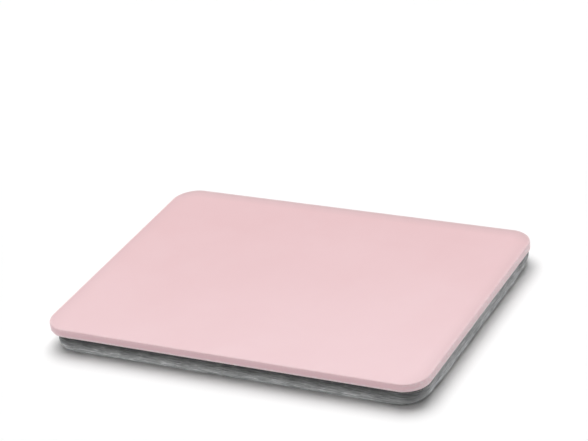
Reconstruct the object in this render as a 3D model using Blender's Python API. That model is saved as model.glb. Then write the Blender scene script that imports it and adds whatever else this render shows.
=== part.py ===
"""Lap desk: a film-covered board on a thin foam cushion with a removable, zipped cover.

The cushion stands on the table. The board lies on it, held by hook-and-loop strips.
Metres, +Z up, +X to the right and +Y to the back. The origin is on the table, below the middle
of the board.
"""

import math

import bmesh
import bpy
from mathutils import Matrix, Vector

# Board
BOARD_WIDTH = 0.433
BOARD_DEPTH = 0.322
BOARD_THICKNESS = 0.009
BOARD_CORNER_RADIUS = 0.026
SKIN_THICKNESS = 0.0008
BACKING_THICKNESS = 0.0007
CORE_EDGE_RADIUS = 0.0004
SKIN_LOWER_EDGE_RADIUS = 0.0007

# Clearance between pieces that touch, the overrun of every cut, and what counts as one point
SEAT_GAP = 0.0003
OVERRUN = 0.004
MERGE_DISTANCE = 0.00001

# Cushion. It is stuck on a little to the right of the board's middle, and to the back of it.
CUSHION_INSET = 0.0046
CUSHION_SHIFT_X = 0.0021
CUSHION_SHIFT_Y = 0.0008
CUSHION_CORNER_SLACK = 0.004
CUSHION_HEIGHT = 0.016
CLOTH_THICKNESS = 0.0012
FOAM_EDGE_RADIUS = 0.0007
TOP_CROWN = 0.0005
BELLY = 0.0009
REST_CUT = 0.0005
SIDE_DRAW = 0.0008
HEAD_DRAW = 0.0018
SIDE_BULGE = 0.001
BULGE_SKEW_SHARE = 0.5

# Hook-and-loop strips
STRIP_WIDTH = 0.020
STRIP_MARGIN = 0.030
STRIP_CORNER_RADIUS = 0.003
LONG_STRIP_LENGTH = 0.260
SHORT_STRIP_LENGTH = 0.160
HOOK_THICKNESS = 0.0006
LOOP_THICKNESS = 0.0005

# Zip: tapes and teeth
ZIP_END_MARGIN = 0.0439
TAPE_THICKNESS = 0.0006
TAPE_PARTING = 0.0005
TAPE_SPLAY = 0.0015
TAPE_SPLAY_RUN = 0.002
TAPE_END_LAP = 0.006
TOOTH_PITCH = 0.0024
TOOTH_ROOT_WIDTH = 0.001
TOOTH_TIP_WIDTH = 0.0007
TOOTH_REACH = 0.0009
TEETH_THICKNESS = 0.0014
SPINE_INNER = 0.0013
SPINE_OUTER = 0.0023
STOP_LENGTH = 0.002
STOP_WEB = 0.0005
STOP_LEG = 0.0006
STOP_HEIGHT = 0.0013
END_ROOM = 0.002

# Zip: slider and pull
PLATE_THICKNESS = 0.0008
FLANGE_THICKNESS = 0.0007
SLIDER_TAIL = 0.0045
SLIDER_NOSE = 0.0045
SLIDER_WAIST = 0.0005
SHOULDER_SPREAD = 0.0009
NOSE_CHAMFER = 0.0006
SLIDER_SIDE_ROOM = 0.001
SLIDER_BACK_ROOM = 0.0004
POST_START = 0.0006
POST_LENGTH = 0.0026
POST_HALF_WIDTH = 0.001
ARCH_ROOM = 0.0016
ARCH_THICKNESS = 0.0007
ARCH_INNER = 0.0023
ARCH_LEG = 0.0008
ARCH_WIDTH = 0.0012
WELD_OVERLAP = 0.0002
PULL_THICKNESS = 0.0009
PULL_LENGTH = 0.022
PULL_EYE_HALF_WIDTH = 0.0023
PULL_TAB_HALF_WIDTH = 0.0026
PULL_NECK_HALF_WIDTH = 0.0017
PULL_EYE_LENGTH = 0.0048
PULL_NECK_LENGTH = 0.003
PULL_HOLE_HALF_WIDTH = 0.0013
PULL_HOLE_END = 0.0037
PULL_END_HOLE_RADIUS = 0.0011

# Facet counts, and the places of the cushion form's cross-sections
CORNER_SEGMENTS = 10
SOFT_CORNER_SEGMENTS = 6
EDGE_SEGMENTS = 3
STRIP_SEGMENTS = 4
ROUND_SEGMENTS = 12
WIDTH_CUT_SHARES = (-0.75, -0.5, -0.25, 0.0, 0.25, 0.5, 0.75)
DEPTH_CUT_SHARES = (-0.7, -0.35, 0.0, 0.35, 0.7)
HEIGHT_CUT_SHARES = (0.25, 0.5, 0.75)

# Sizes that follow from the ones above
BOARD_EDGE_RADIUS = CORE_EDGE_RADIUS + SEAT_GAP + SKIN_THICKNESS
SKIN_INSET = SKIN_THICKNESS + SEAT_GAP
COVER_INSET = CLOTH_THICKNESS + SEAT_GAP
RIM_RADIUS = CLOTH_THICKNESS + SEAT_GAP + FOAM_EDGE_RADIUS
CUSHION_WIDTH = BOARD_WIDTH - 2 * CUSHION_INSET
CUSHION_DEPTH = BOARD_DEPTH - 2 * CUSHION_INSET
CUSHION_CORNER_RADIUS = BOARD_CORNER_RADIUS - CUSHION_INSET + CUSHION_CORNER_SLACK
CUSHION_LIFT = BELLY - REST_CUT

SLIDER_HALF_WIDTH = SPINE_OUTER + SEAT_GAP + FLANGE_THICKNESS
SHOULDER_HALF_WIDTH = SLIDER_HALF_WIDTH + SHOULDER_SPREAD
ZIP_BAND = 2 * (SHOULDER_HALF_WIDTH + SLIDER_SIDE_ROOM)
ZIP_HEIGHT = (CUSHION_HEIGHT + CUSHION_LIFT) / 2
UPPER_SEAM = ZIP_HEIGHT + ZIP_BAND / 2
LOWER_SEAM = ZIP_HEIGHT - ZIP_BAND / 2

WINDOW_LENGTH = CUSHION_WIDTH - 2 * ZIP_END_MARGIN
REAR_FACE = CUSHION_DEPTH / 2
TAPE_OUTER = REAR_FACE - CLOTH_THICKNESS - SEAT_GAP
TAPE_INNER = TAPE_OUTER - TAPE_THICKNESS
TEETH_INNER = TAPE_OUTER + SEAT_GAP
TEETH_OUTER = TEETH_INNER + TEETH_THICKNESS
OUTER_PLATE_INNER = TEETH_OUTER + SEAT_GAP
OUTER_PLATE_OUTER = OUTER_PLATE_INNER + PLATE_THICKNESS
INNER_PLATE_OUTER = TAPE_INNER - SEAT_GAP
INNER_PLATE_INNER = INNER_PLATE_OUTER - PLATE_THICKNESS
PULL_AXIS_DEPTH = OUTER_PLATE_OUTER + ARCH_ROOM / 2

SLIDER_PLACE = WINDOW_LENGTH / 2 - END_ROOM - STOP_LENGTH - SEAT_GAP - SLIDER_NOSE
CHAIN_END = SLIDER_PLACE + POST_START - SEAT_GAP
CHAIN_START = SEAT_GAP + STOP_LENGTH + END_ROOM - WINDOW_LENGTH / 2
ZIP_TRAVEL = SLIDER_PLACE - SLIDER_TAIL - CHAIN_START

MODEL_COLLECTION = "Lap desk"
CUTTER_COLLECTION = "Lap desk cutters"


# Scene and helpers

def clear_scene():
    """Remove every object, and the collections left empty."""
    for thing in list(bpy.data.objects):
        bpy.data.objects.remove(thing, do_unlink=True)
    for group in list(bpy.data.collections):
        bpy.data.collections.remove(group)


def make_collection(name):
    """Return a new collection in the scene."""
    group = bpy.data.collections.new(name)
    bpy.context.scene.collection.children.link(group)
    return group


def make_material(name, color, roughness, metallic=0.0):
    """Return a plain material with one colour, roughness and metallic value."""
    finish = bpy.data.materials.new(name)
    finish.use_nodes = True
    shader = finish.node_tree.nodes["Principled BSDF"]
    shader.inputs["Base Color"].default_value = (*color, 1.0)
    shader.inputs["Roughness"].default_value = roughness
    shader.inputs["Metallic"].default_value = metallic
    finish.diffuse_color = (*color, 1.0)
    return finish


def object_from_bmesh(name, bm, collection, finish=None):
    """Turn a bmesh into a smooth-shaded object with crisp edges."""
    bmesh.ops.recalc_face_normals(bm, faces=bm.faces)
    mesh = bpy.data.meshes.new(name)
    bm.to_mesh(mesh)
    bm.free()
    mesh.shade_smooth()
    mesh.set_sharp_from_angle(angle=math.radians(35))
    thing = bpy.data.objects.new(name, mesh)
    collection.objects.link(thing)
    if finish:
        mesh.materials.append(finish)
    return thing


def box_bmesh(low, high):
    """Return a bmesh box between two corners."""
    low = Vector(low)
    high = Vector(high)
    bm = bmesh.new()
    bmesh.ops.create_cube(bm, size=1)
    bmesh.ops.scale(bm, vec=high - low, verts=bm.verts)
    bmesh.ops.translate(bm, vec=(low + high) / 2, verts=bm.verts)
    return bm


def upright_edges(bm):
    """Return the edges that run straight up at the corners of a box."""
    found = []
    for edge in bm.edges:
        along = edge.verts[1].co - edge.verts[0].co
        leans = Vector((along.x, along.y)).length > abs(along.z)
        if not leans and edge.calc_face_angle() > math.radians(60):
            found.append(edge)
    return found


def rim_edges(bm, height):
    """Return the edges where the walls meet a slab's top or bottom, at one height."""
    found = []
    for edge in bm.edges:
        level = all(abs(vert.co.z - height) < MERGE_DISTANCE for vert in edge.verts)
        if level and edge.calc_face_angle() > math.radians(60):
            found.append(edge)
    return found


def round_rim(bm, height, radius):
    """Round a slab's rim at one height."""
    bmesh.ops.bevel(
        bm, geom=rim_edges(bm, height), offset=radius, segments=EDGE_SEGMENTS,
        profile=0.5, affect="EDGES",
    )


def rounded_slab_bmesh(width, depth, bottom, top, corner_radius, segments):
    """Return a slab with round corners in plan and sharp rims."""
    bm = box_bmesh((-width / 2, -depth / 2, bottom), (width / 2, depth / 2, top))
    bmesh.ops.bevel(
        bm, geom=upright_edges(bm), offset=corner_radius, segments=segments,
        profile=0.5, affect="EDGES",
    )
    return bm


def make_cutter(name, bm, cutters):
    """Return a hidden wire object that other pieces are cut with."""
    cutter = object_from_bmesh(name, bm, cutters)
    mark_cutter(cutter)
    return cutter


def mark_cutter(cutter):
    """Keep a cutter out of renders and show it as wire."""
    cutter.hide_render = True
    cutter.display_type = "WIRE"


def cut(thing, cutter, operation):
    """Add a Boolean between a piece and a cutter."""
    modifier = thing.modifiers.new(f"{operation.lower()} {cutter.name}", "BOOLEAN")
    modifier.operation = operation
    modifier.solver = "EXACT"
    modifier.object = cutter


def attach(child, parent):
    """Parent a piece without moving it."""
    bpy.context.view_layer.update()
    child.parent = parent
    child.matrix_parent_inverse = parent.matrix_world.inverted()


def make_pivot(name, place, collection):
    """Return an empty that carries a group of pieces."""
    pivot = bpy.data.objects.new(name, None)
    pivot.location = place
    pivot.empty_display_size = STRIP_WIDTH
    collection.objects.link(pivot)
    return pivot


def plate_object(name, loops, inner, outer, collection, finish=None, origin=(0.0, 0.0)):
    """Return a flat plate in the rear wall's plane.

    The first loop is the outline and the others are its holes. Each point is (x, z) from the
    origin, which is given as (x, z) too. The plate lies between two depths along Y.
    """
    curve = bpy.data.curves.new(name, "CURVE")
    curve.dimensions = "2D"
    curve.fill_mode = "BOTH"
    curve.extrude = (outer - inner) / 2
    for loop in loops:
        spline = curve.splines.new("POLY")
        spline.points.add(len(loop) - 1)
        for point, (x, z) in zip(spline.points, loop):
            point.co = (x, z, 0, 1)
        spline.use_cyclic_u = True
    outline = bpy.data.objects.new(name, curve)
    collection.objects.link(outline)
    bpy.context.view_layer.update()

    evaluated = outline.evaluated_get(bpy.context.evaluated_depsgraph_get())
    mesh = bpy.data.meshes.new_from_object(evaluated)
    bpy.data.objects.remove(outline, do_unlink=True)
    bm = bmesh.new()
    bm.from_mesh(mesh)
    bpy.data.meshes.remove(mesh)
    bmesh.ops.remove_doubles(bm, verts=bm.verts, dist=MERGE_DISTANCE)
    bmesh.ops.rotate(bm, cent=(0, 0, 0), matrix=Matrix.Rotation(math.pi / 2, 3, "X"), verts=bm.verts)
    plate = object_from_bmesh(name, bm, collection, finish)
    plate.location = (origin[0], (inner + outer) / 2, origin[1])
    return plate


def arc_points(center, radius, start, end, segments=ROUND_SEGMENTS):
    """Return points on an arc, from one angle in degrees to another."""
    points = []
    for step in range(segments + 1):
        angle = math.radians(start + (end - start) * step / segments)
        points.append((center[0] + radius * math.cos(angle), center[1] + radius * math.sin(angle)))
    return points


# Cushion form

def swell(x_share, y_share):
    """Return how much of the crown stands at a place on the cushion, from 0 to 1."""
    return max(0, 1 - x_share ** 2) * max(0, 1 - y_share ** 2)


def top_crown_at(x, y):
    """Return the crown's height above the rim, at a place on the cushion's top."""
    return TOP_CROWN * swell(2 * x / CUSHION_WIDTH, 2 * y / CUSHION_DEPTH)


def wall_lean(point, half_width, half_depth, radius):
    """Return the outward direction of the wall nearest to a point, shorter further in."""
    nearest_x = min(max(point.x, radius - half_width), half_width - radius)
    nearest_y = min(max(point.y, radius - half_depth), half_depth - radius)
    return (point.x - nearest_x) / radius, (point.y - nearest_y) / radius


def soft_form_bmesh(inset):
    """Return the cushion's soft shape, drawn inwards by a wall's thickness.

    The top is crowned and the belly hangs below its rim. The front and the sides swell low down,
    and they draw in between the corners and towards the top. The rear stays straight, because the
    zip stiffens it.
    """
    half_width = CUSHION_WIDTH / 2 - inset
    half_depth = CUSHION_DEPTH / 2 - inset
    radius = CUSHION_CORNER_RADIUS - inset
    bottom = CUSHION_LIFT + inset
    top = CUSHION_HEIGHT - inset

    bm = box_bmesh((-half_width, -half_depth, bottom), (half_width, half_depth, top))
    sections = [((share * half_width, 0, 0), (1, 0, 0)) for share in WIDTH_CUT_SHARES]
    sections += [((0, share * half_depth, 0), (0, 1, 0)) for share in DEPTH_CUT_SHARES]
    sections += [((0, 0, bottom + share * (top - bottom)), (0, 0, 1)) for share in HEIGHT_CUT_SHARES]
    for place, normal in sections:
        everything = list(bm.verts) + list(bm.edges) + list(bm.faces)
        bmesh.ops.bisect_plane(bm, geom=everything, plane_co=place, plane_no=normal)
    bmesh.ops.bevel(
        bm, geom=upright_edges(bm), offset=radius, segments=SOFT_CORNER_SEGMENTS,
        profile=0.5, affect="EDGES",
    )
    for height in (bottom, top):
        round_rim(bm, height, RIM_RADIUS - inset)
    bmesh.ops.triangulate(bm, faces=bm.faces)

    for vert in bm.verts:
        x_share = vert.co.x / half_width
        y_share = vert.co.y / half_depth
        z_share = max(0, (vert.co.z - CUSHION_LIFT) / (CUSHION_HEIGHT - CUSHION_LIFT))
        lean_x, lean_y = wall_lean(vert.co, half_width, half_depth, radius)
        bulge = SIDE_BULGE * math.sin(math.pi * z_share ** BULGE_SKEW_SHARE) - HEAD_DRAW * z_share ** 2
        draw_x = SIDE_DRAW * max(0, 1 - y_share ** 2) * x_share ** 3
        draw_y = SIDE_DRAW * max(0, 1 - x_share ** 2) * min(0, y_share) ** 3
        vert.co.x += bulge * lean_x - draw_x
        vert.co.y += bulge * min(0, lean_y) - draw_y
        vert.co.z += swell(x_share, y_share) * (TOP_CROWN * z_share - BELLY * (1 - z_share))
    return bm


def slab_bmesh(bottom, top):
    """Return a box wider than the cushion, between two heights."""
    reach_x = CUSHION_WIDTH / 2 + OVERRUN
    reach_y = CUSHION_DEPTH / 2 + OVERRUN
    return box_bmesh((-reach_x, -reach_y, bottom), (reach_x, reach_y, top))


def make_cover_piece(name, bottom, top, lining, model, cutters, finish):
    """Return the part of the sewn cover that lies between two heights."""
    piece = object_from_bmesh(name, soft_form_bmesh(0), model, finish)
    cut(piece, lining, "DIFFERENCE")
    cut(piece, make_cutter(f"{name} band", slab_bmesh(bottom, top), cutters), "INTERSECT")
    return piece


def make_cushion(model, cutters, cloth, foam):
    """Make the foam core and the three cloth pieces of its cover."""
    lining = make_cutter("cover lining", soft_form_bmesh(CLOTH_THICKNESS), cutters)
    half_gap = SEAT_GAP / 2
    over_top = CUSHION_HEIGHT + OVERRUN
    top_panel = make_cover_piece(
        "cover_top_panel", UPPER_SEAM + half_gap, over_top, lining, model, cutters, cloth)
    side_wall = make_cover_piece(
        "cover_side_wall", LOWER_SEAM + half_gap, UPPER_SEAM - half_gap, lining, model, cutters, cloth)
    bottom_panel = make_cover_piece(
        "cover_bottom_panel", 0, LOWER_SEAM - half_gap, lining, model, cutters, cloth)

    window = box_bmesh(
        (-WINDOW_LENGTH / 2, REAR_FACE - CLOTH_THICKNESS - OVERRUN, LOWER_SEAM - OVERRUN),
        (WINDOW_LENGTH / 2, REAR_FACE + OVERRUN, UPPER_SEAM + OVERRUN))
    cut(side_wall, make_cutter("zip window", window, cutters), "DIFFERENCE")

    core = object_from_bmesh("foam_core", soft_form_bmesh(COVER_INSET), model, foam)
    room_half_length = WINDOW_LENGTH / 2 + TAPE_END_LAP + SEAT_GAP
    zip_room = box_bmesh(
        (-room_half_length, INNER_PLATE_INNER - SLIDER_BACK_ROOM, -OVERRUN),
        (room_half_length, REAR_FACE + OVERRUN, CUSHION_HEIGHT + OVERRUN))
    cut(core, make_cutter("zip room", zip_room, cutters), "DIFFERENCE")
    return [top_panel, side_wall, bottom_panel, core]


# Board

def board_underside():
    """Return the height of the board's underside above the table."""
    inner_edge = BOARD_DEPTH / 2 - STRIP_MARGIN - STRIP_WIDTH
    loop_seat = CUSHION_HEIGHT + top_crown_at(0, inner_edge) + SEAT_GAP
    return loop_seat + LOOP_THICKNESS + SEAT_GAP + HOOK_THICKNESS + SEAT_GAP


def make_board(model, cutters, film, panel, backing):
    """Make the board: a core panel, the film drawn over it and the sheet under it."""
    underside = board_underside()
    top = underside + BOARD_THICKNESS
    core_bottom = underside + BACKING_THICKNESS + SEAT_GAP
    core_top = top - SKIN_INSET
    core_width = BOARD_WIDTH - 2 * SKIN_INSET
    core_depth = BOARD_DEPTH - 2 * SKIN_INSET
    core_corner = BOARD_CORNER_RADIUS - SKIN_INSET

    core_form = rounded_slab_bmesh(
        core_width, core_depth, core_bottom, core_top, core_corner, CORNER_SEGMENTS)
    round_rim(core_form, core_top, CORE_EDGE_RADIUS)
    core = object_from_bmesh("board_core", core_form, model, panel)

    skin_form = rounded_slab_bmesh(
        BOARD_WIDTH, BOARD_DEPTH, underside, top, BOARD_CORNER_RADIUS, CORNER_SEGMENTS)
    round_rim(skin_form, top, BOARD_EDGE_RADIUS)
    round_rim(skin_form, underside, SKIN_LOWER_EDGE_RADIUS)
    skin = object_from_bmesh("top_skin", skin_form, model, film)
    hollow_top = top - SKIN_THICKNESS
    hollow = rounded_slab_bmesh(
        BOARD_WIDTH - 2 * SKIN_THICKNESS, BOARD_DEPTH - 2 * SKIN_THICKNESS, underside - OVERRUN,
        hollow_top, BOARD_CORNER_RADIUS - SKIN_THICKNESS, CORNER_SEGMENTS)
    round_rim(hollow, hollow_top, BOARD_EDGE_RADIUS - SKIN_THICKNESS)
    cut(skin, make_cutter("skin hollow", hollow, cutters), "DIFFERENCE")

    sheet_form = rounded_slab_bmesh(
        core_width, core_depth, underside, underside + BACKING_THICKNESS, core_corner, CORNER_SEGMENTS)
    sheet = object_from_bmesh("backing_sheet", sheet_form, model, backing)
    return [core, skin, sheet]


# Hook-and-loop strips

def strip_places():
    """Return each strip's side, centre and size in plan."""
    across = BOARD_DEPTH / 2 - STRIP_MARGIN - STRIP_WIDTH / 2
    aside = BOARD_WIDTH / 2 - STRIP_MARGIN - STRIP_WIDTH / 2
    return [
        ("front", (0, -across), (LONG_STRIP_LENGTH, STRIP_WIDTH)),
        ("back", (0, across), (LONG_STRIP_LENGTH, STRIP_WIDTH)),
        ("left", (-aside, 0), (STRIP_WIDTH, SHORT_STRIP_LENGTH)),
        ("right", (aside, 0), (STRIP_WIDTH, SHORT_STRIP_LENGTH)),
    ]


def make_strips(kind, top, thickness, model, finish):
    """Make the four strips of one kind, with their upper faces at one height."""
    strips = []
    for side, center, (width, depth) in strip_places():
        bm = rounded_slab_bmesh(width, depth, top - thickness, top, STRIP_CORNER_RADIUS, STRIP_SEGMENTS)
        bmesh.ops.translate(bm, vec=(*center, 0), verts=bm.verts)
        strips.append(object_from_bmesh(f"{kind}_strip_{side}", bm, model, finish))
    return strips


# Zip

def mirrored(points):
    """Return an outline turned over to the lower side of the zip."""
    return [(x, -z) for x, z in reversed(points)]


def tape_outline():
    """Return the upper tape's outline. Its inner edge parts where the slider's post stands."""
    reach = WINDOW_LENGTH / 2 + TAPE_END_LAP
    far_edge = CUSHION_HEIGHT - RIM_RADIUS - ZIP_HEIGHT
    return [
        (-reach, TAPE_PARTING),
        (CHAIN_END - TAPE_SPLAY_RUN, TAPE_PARTING),
        (CHAIN_END, TAPE_SPLAY),
        (reach, TAPE_SPLAY),
        (reach, far_edge),
        (-reach, far_edge),
    ]


def teeth_outline(shift):
    """Return the outline of the upper row: a spine with evenly spaced teeth.

    The row's first tooth stands half a pitch inside the row's start, plus the shift.
    """
    points = [(CHAIN_START, SPINE_OUTER), (CHAIN_START, SPINE_INNER)]
    first = CHAIN_START + TOOTH_PITCH / 2 + shift
    count = int((CHAIN_END - first - TOOTH_ROOT_WIDTH / 2) / TOOTH_PITCH) + 1
    for index in range(count):
        middle = first + index * TOOTH_PITCH
        points.append((middle - TOOTH_ROOT_WIDTH / 2, SPINE_INNER))
        points.append((middle - TOOTH_TIP_WIDTH / 2, -TOOTH_REACH))
        points.append((middle + TOOTH_TIP_WIDTH / 2, -TOOTH_REACH))
        points.append((middle + TOOTH_ROOT_WIDTH / 2, SPINE_INNER))
    points += [(CHAIN_END, SPINE_INNER), (CHAIN_END, SPINE_OUTER)]
    return points


def make_zip_rows(model, tape_finish, teeth_finish):
    """Make the two tapes and the two rows of teeth that mesh between them."""
    origin = (0, ZIP_HEIGHT)
    tape = tape_outline()
    upper_row = teeth_outline(0)
    lower_row = mirrored(teeth_outline(TOOTH_PITCH / 2))
    return [
        plate_object("zip_tape_upper", [tape], TAPE_INNER, TAPE_OUTER, model, tape_finish, origin),
        plate_object("zip_tape_lower", [mirrored(tape)], TAPE_INNER, TAPE_OUTER, model, tape_finish, origin),
        plate_object("zip_teeth_upper", [upper_row], TEETH_INNER, TEETH_OUTER, model, teeth_finish, origin),
        plate_object("zip_teeth_lower", [lower_row], TEETH_INNER, TEETH_OUTER, model, teeth_finish, origin),
    ]


def clip_bmesh(start, side):
    """Return a crimped stop that wraps the parted edge of one tape, above or below the zip."""
    edge = TAPE_SPLAY - SEAT_GAP
    low_y = TAPE_INNER - SEAT_GAP - STOP_LEG
    high_y = TEETH_OUTER
    bm = box_bmesh((start, low_y, edge - STOP_WEB), (start + STOP_LENGTH, high_y, edge + STOP_HEIGHT))
    bmesh.ops.scale(bm, vec=(1, 1, side), verts=bm.verts)
    bmesh.ops.translate(bm, vec=(0, 0, ZIP_HEIGHT), verts=bm.verts)
    return bm


def make_stops(model, cutters, metal):
    """Make the clips at the closed end and the block that joins the rows at the open end."""
    clip_start = SLIDER_PLACE + SLIDER_NOSE + SEAT_GAP
    slot_reach = ZIP_BAND / 2
    stops = []
    for side, name in ((1, "zip_clip_upper"), (-1, "zip_clip_lower")):
        clip = object_from_bmesh(name, clip_bmesh(clip_start, side), model, metal)
        edge = TAPE_SPLAY - SEAT_GAP
        slot = box_bmesh(
            (clip_start - OVERRUN, TAPE_INNER - SEAT_GAP, edge),
            (clip_start + STOP_LENGTH + OVERRUN, TAPE_OUTER + SEAT_GAP, slot_reach))
        bmesh.ops.scale(slot, vec=(1, 1, side), verts=slot.verts)
        bmesh.ops.translate(slot, vec=(0, 0, ZIP_HEIGHT), verts=slot.verts)
        cut(clip, make_cutter(f"{name} slot", slot, cutters), "DIFFERENCE")
        stops.append(clip)
    joint = box_bmesh(
        (CHAIN_START - SEAT_GAP - STOP_LENGTH, TEETH_INNER, ZIP_HEIGHT - SPINE_OUTER),
        (CHAIN_START - SEAT_GAP, TEETH_OUTER, ZIP_HEIGHT + SPINE_OUTER))
    stops.append(object_from_bmesh("zip_end_block", joint, model, metal))
    return stops


def slider_plate_outline():
    """Return the shield-shaped outline of the slider's plates."""
    tail = NOSE_CHAMFER - SLIDER_TAIL
    right = [
        (-SLIDER_TAIL, SLIDER_HALF_WIDTH - NOSE_CHAMFER),
        (tail, SLIDER_HALF_WIDTH),
        (-SLIDER_WAIST, SLIDER_HALF_WIDTH),
        (SLIDER_NOSE - NOSE_CHAMFER, SHOULDER_HALF_WIDTH),
        (SLIDER_NOSE, SHOULDER_HALF_WIDTH - NOSE_CHAMFER),
    ]
    return right + mirrored(right)


def flange_outline():
    """Return the outline of the slider's upper flange, which follows the plate's edge."""
    start = NOSE_CHAMFER - SLIDER_TAIL
    end = SLIDER_NOSE - NOSE_CHAMFER
    return [
        (start, SLIDER_HALF_WIDTH),
        (start, SLIDER_HALF_WIDTH - FLANGE_THICKNESS),
        (-SLIDER_WAIST, SLIDER_HALF_WIDTH - FLANGE_THICKNESS),
        (end, SHOULDER_HALF_WIDTH - FLANGE_THICKNESS),
        (end, SHOULDER_HALF_WIDTH),
        (-SLIDER_WAIST, SLIDER_HALF_WIDTH),
    ]


def arch_bmesh():
    """Return the arch that carries the pull, standing on the slider's outer plate."""
    reach = ARCH_INNER + ARCH_LEG
    bm = box_bmesh(
        (-reach, OUTER_PLATE_OUTER - WELD_OVERLAP, -ARCH_WIDTH / 2),
        (reach, OUTER_PLATE_OUTER + ARCH_ROOM + ARCH_THICKNESS, ARCH_WIDTH / 2))
    return bm


def post_outline():
    """Return the outline of the wedge between the plates that parts the teeth."""
    middle = POST_START + POST_LENGTH / 2
    return [
        (POST_START, 0),
        (middle, -POST_HALF_WIDTH),
        (POST_START + POST_LENGTH, 0),
        (middle, POST_HALF_WIDTH),
    ]


def make_slider(model, cutters, metal):
    """Make the slider: two plates joined by a post, with flanges and the pull's arch."""
    origin = (SLIDER_PLACE, ZIP_HEIGHT)
    shield = slider_plate_outline()
    body = plate_object("zip_slider", [shield], OUTER_PLATE_INNER, OUTER_PLATE_OUTER, model, metal, origin)

    flange_inner = TAPE_OUTER + SEAT_GAP
    flange_outer = OUTER_PLATE_INNER + WELD_OVERLAP
    post_inner = INNER_PLATE_OUTER - WELD_OVERLAP
    upper = flange_outline()
    shapes = [
        ("slider flange upper", upper, flange_inner, flange_outer),
        ("slider flange lower", mirrored(upper), flange_inner, flange_outer),
        ("slider inner plate", shield, INNER_PLATE_INNER, INNER_PLATE_OUTER),
        ("slider post", post_outline(), post_inner, flange_outer),
    ]
    additions = []
    for name, outline, inner, outer in shapes:
        additions.append(plate_object(name, [outline], inner, outer, cutters, None, origin))

    arch = object_from_bmesh("slider arch", arch_bmesh(), cutters)
    arch.location = (SLIDER_PLACE, 0, ZIP_HEIGHT)
    opening = box_bmesh(
        (-ARCH_INNER, OUTER_PLATE_OUTER, -ARCH_WIDTH),
        (ARCH_INNER, OUTER_PLATE_OUTER + ARCH_ROOM, ARCH_WIDTH))
    arch_opening = make_cutter("slider arch opening", opening, cutters)
    arch_opening.location = arch.location
    cut(arch, arch_opening, "DIFFERENCE")
    additions.append(arch)
    for addition in additions:
        mark_cutter(addition)
        cut(body, addition, "UNION")
    return body


def pull_outline():
    """Return the pull's outline, from its eye at the arch back to its round end."""
    bar = PULL_THICKNESS / 2
    neck_start = -PULL_EYE_LENGTH
    tab_start = neck_start - PULL_NECK_LENGTH
    end_center = PULL_TAB_HALF_WIDTH - PULL_LENGTH
    upper = [
        (bar, PULL_EYE_HALF_WIDTH),
        (neck_start + PULL_EYE_HALF_WIDTH - PULL_NECK_HALF_WIDTH, PULL_EYE_HALF_WIDTH),
        (neck_start, PULL_NECK_HALF_WIDTH),
        (tab_start, PULL_TAB_HALF_WIDTH),
    ]
    round_end = arc_points((end_center, 0), PULL_TAB_HALF_WIDTH, 90, 270)
    return upper + round_end + mirrored(upper)


def pull_holes():
    """Return the eye's opening, which the arch passes through, and the hole in the tab."""
    bar = PULL_THICKNESS / 2
    eye = [
        (-bar, PULL_HOLE_HALF_WIDTH),
        (-bar, -PULL_HOLE_HALF_WIDTH),
        (-PULL_HOLE_END, -PULL_HOLE_HALF_WIDTH),
        (-PULL_HOLE_END, PULL_HOLE_HALF_WIDTH),
    ]
    end_center = (PULL_TAB_HALF_WIDTH - PULL_LENGTH, 0)
    ring = arc_points(end_center, PULL_END_HOLE_RADIUS, 0, 360)[:-1]
    return [eye, ring]


def make_pull(model, metal):
    """Make the pull, with its origin on the axis that it swings about."""
    inner = PULL_AXIS_DEPTH - PULL_THICKNESS / 2
    outer = PULL_AXIS_DEPTH + PULL_THICKNESS / 2
    loops = [pull_outline()] + pull_holes()
    return plate_object("zip_pull", loops, inner, outer, model, metal, (SLIDER_PLACE, ZIP_HEIGHT))


# Assembly

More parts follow.
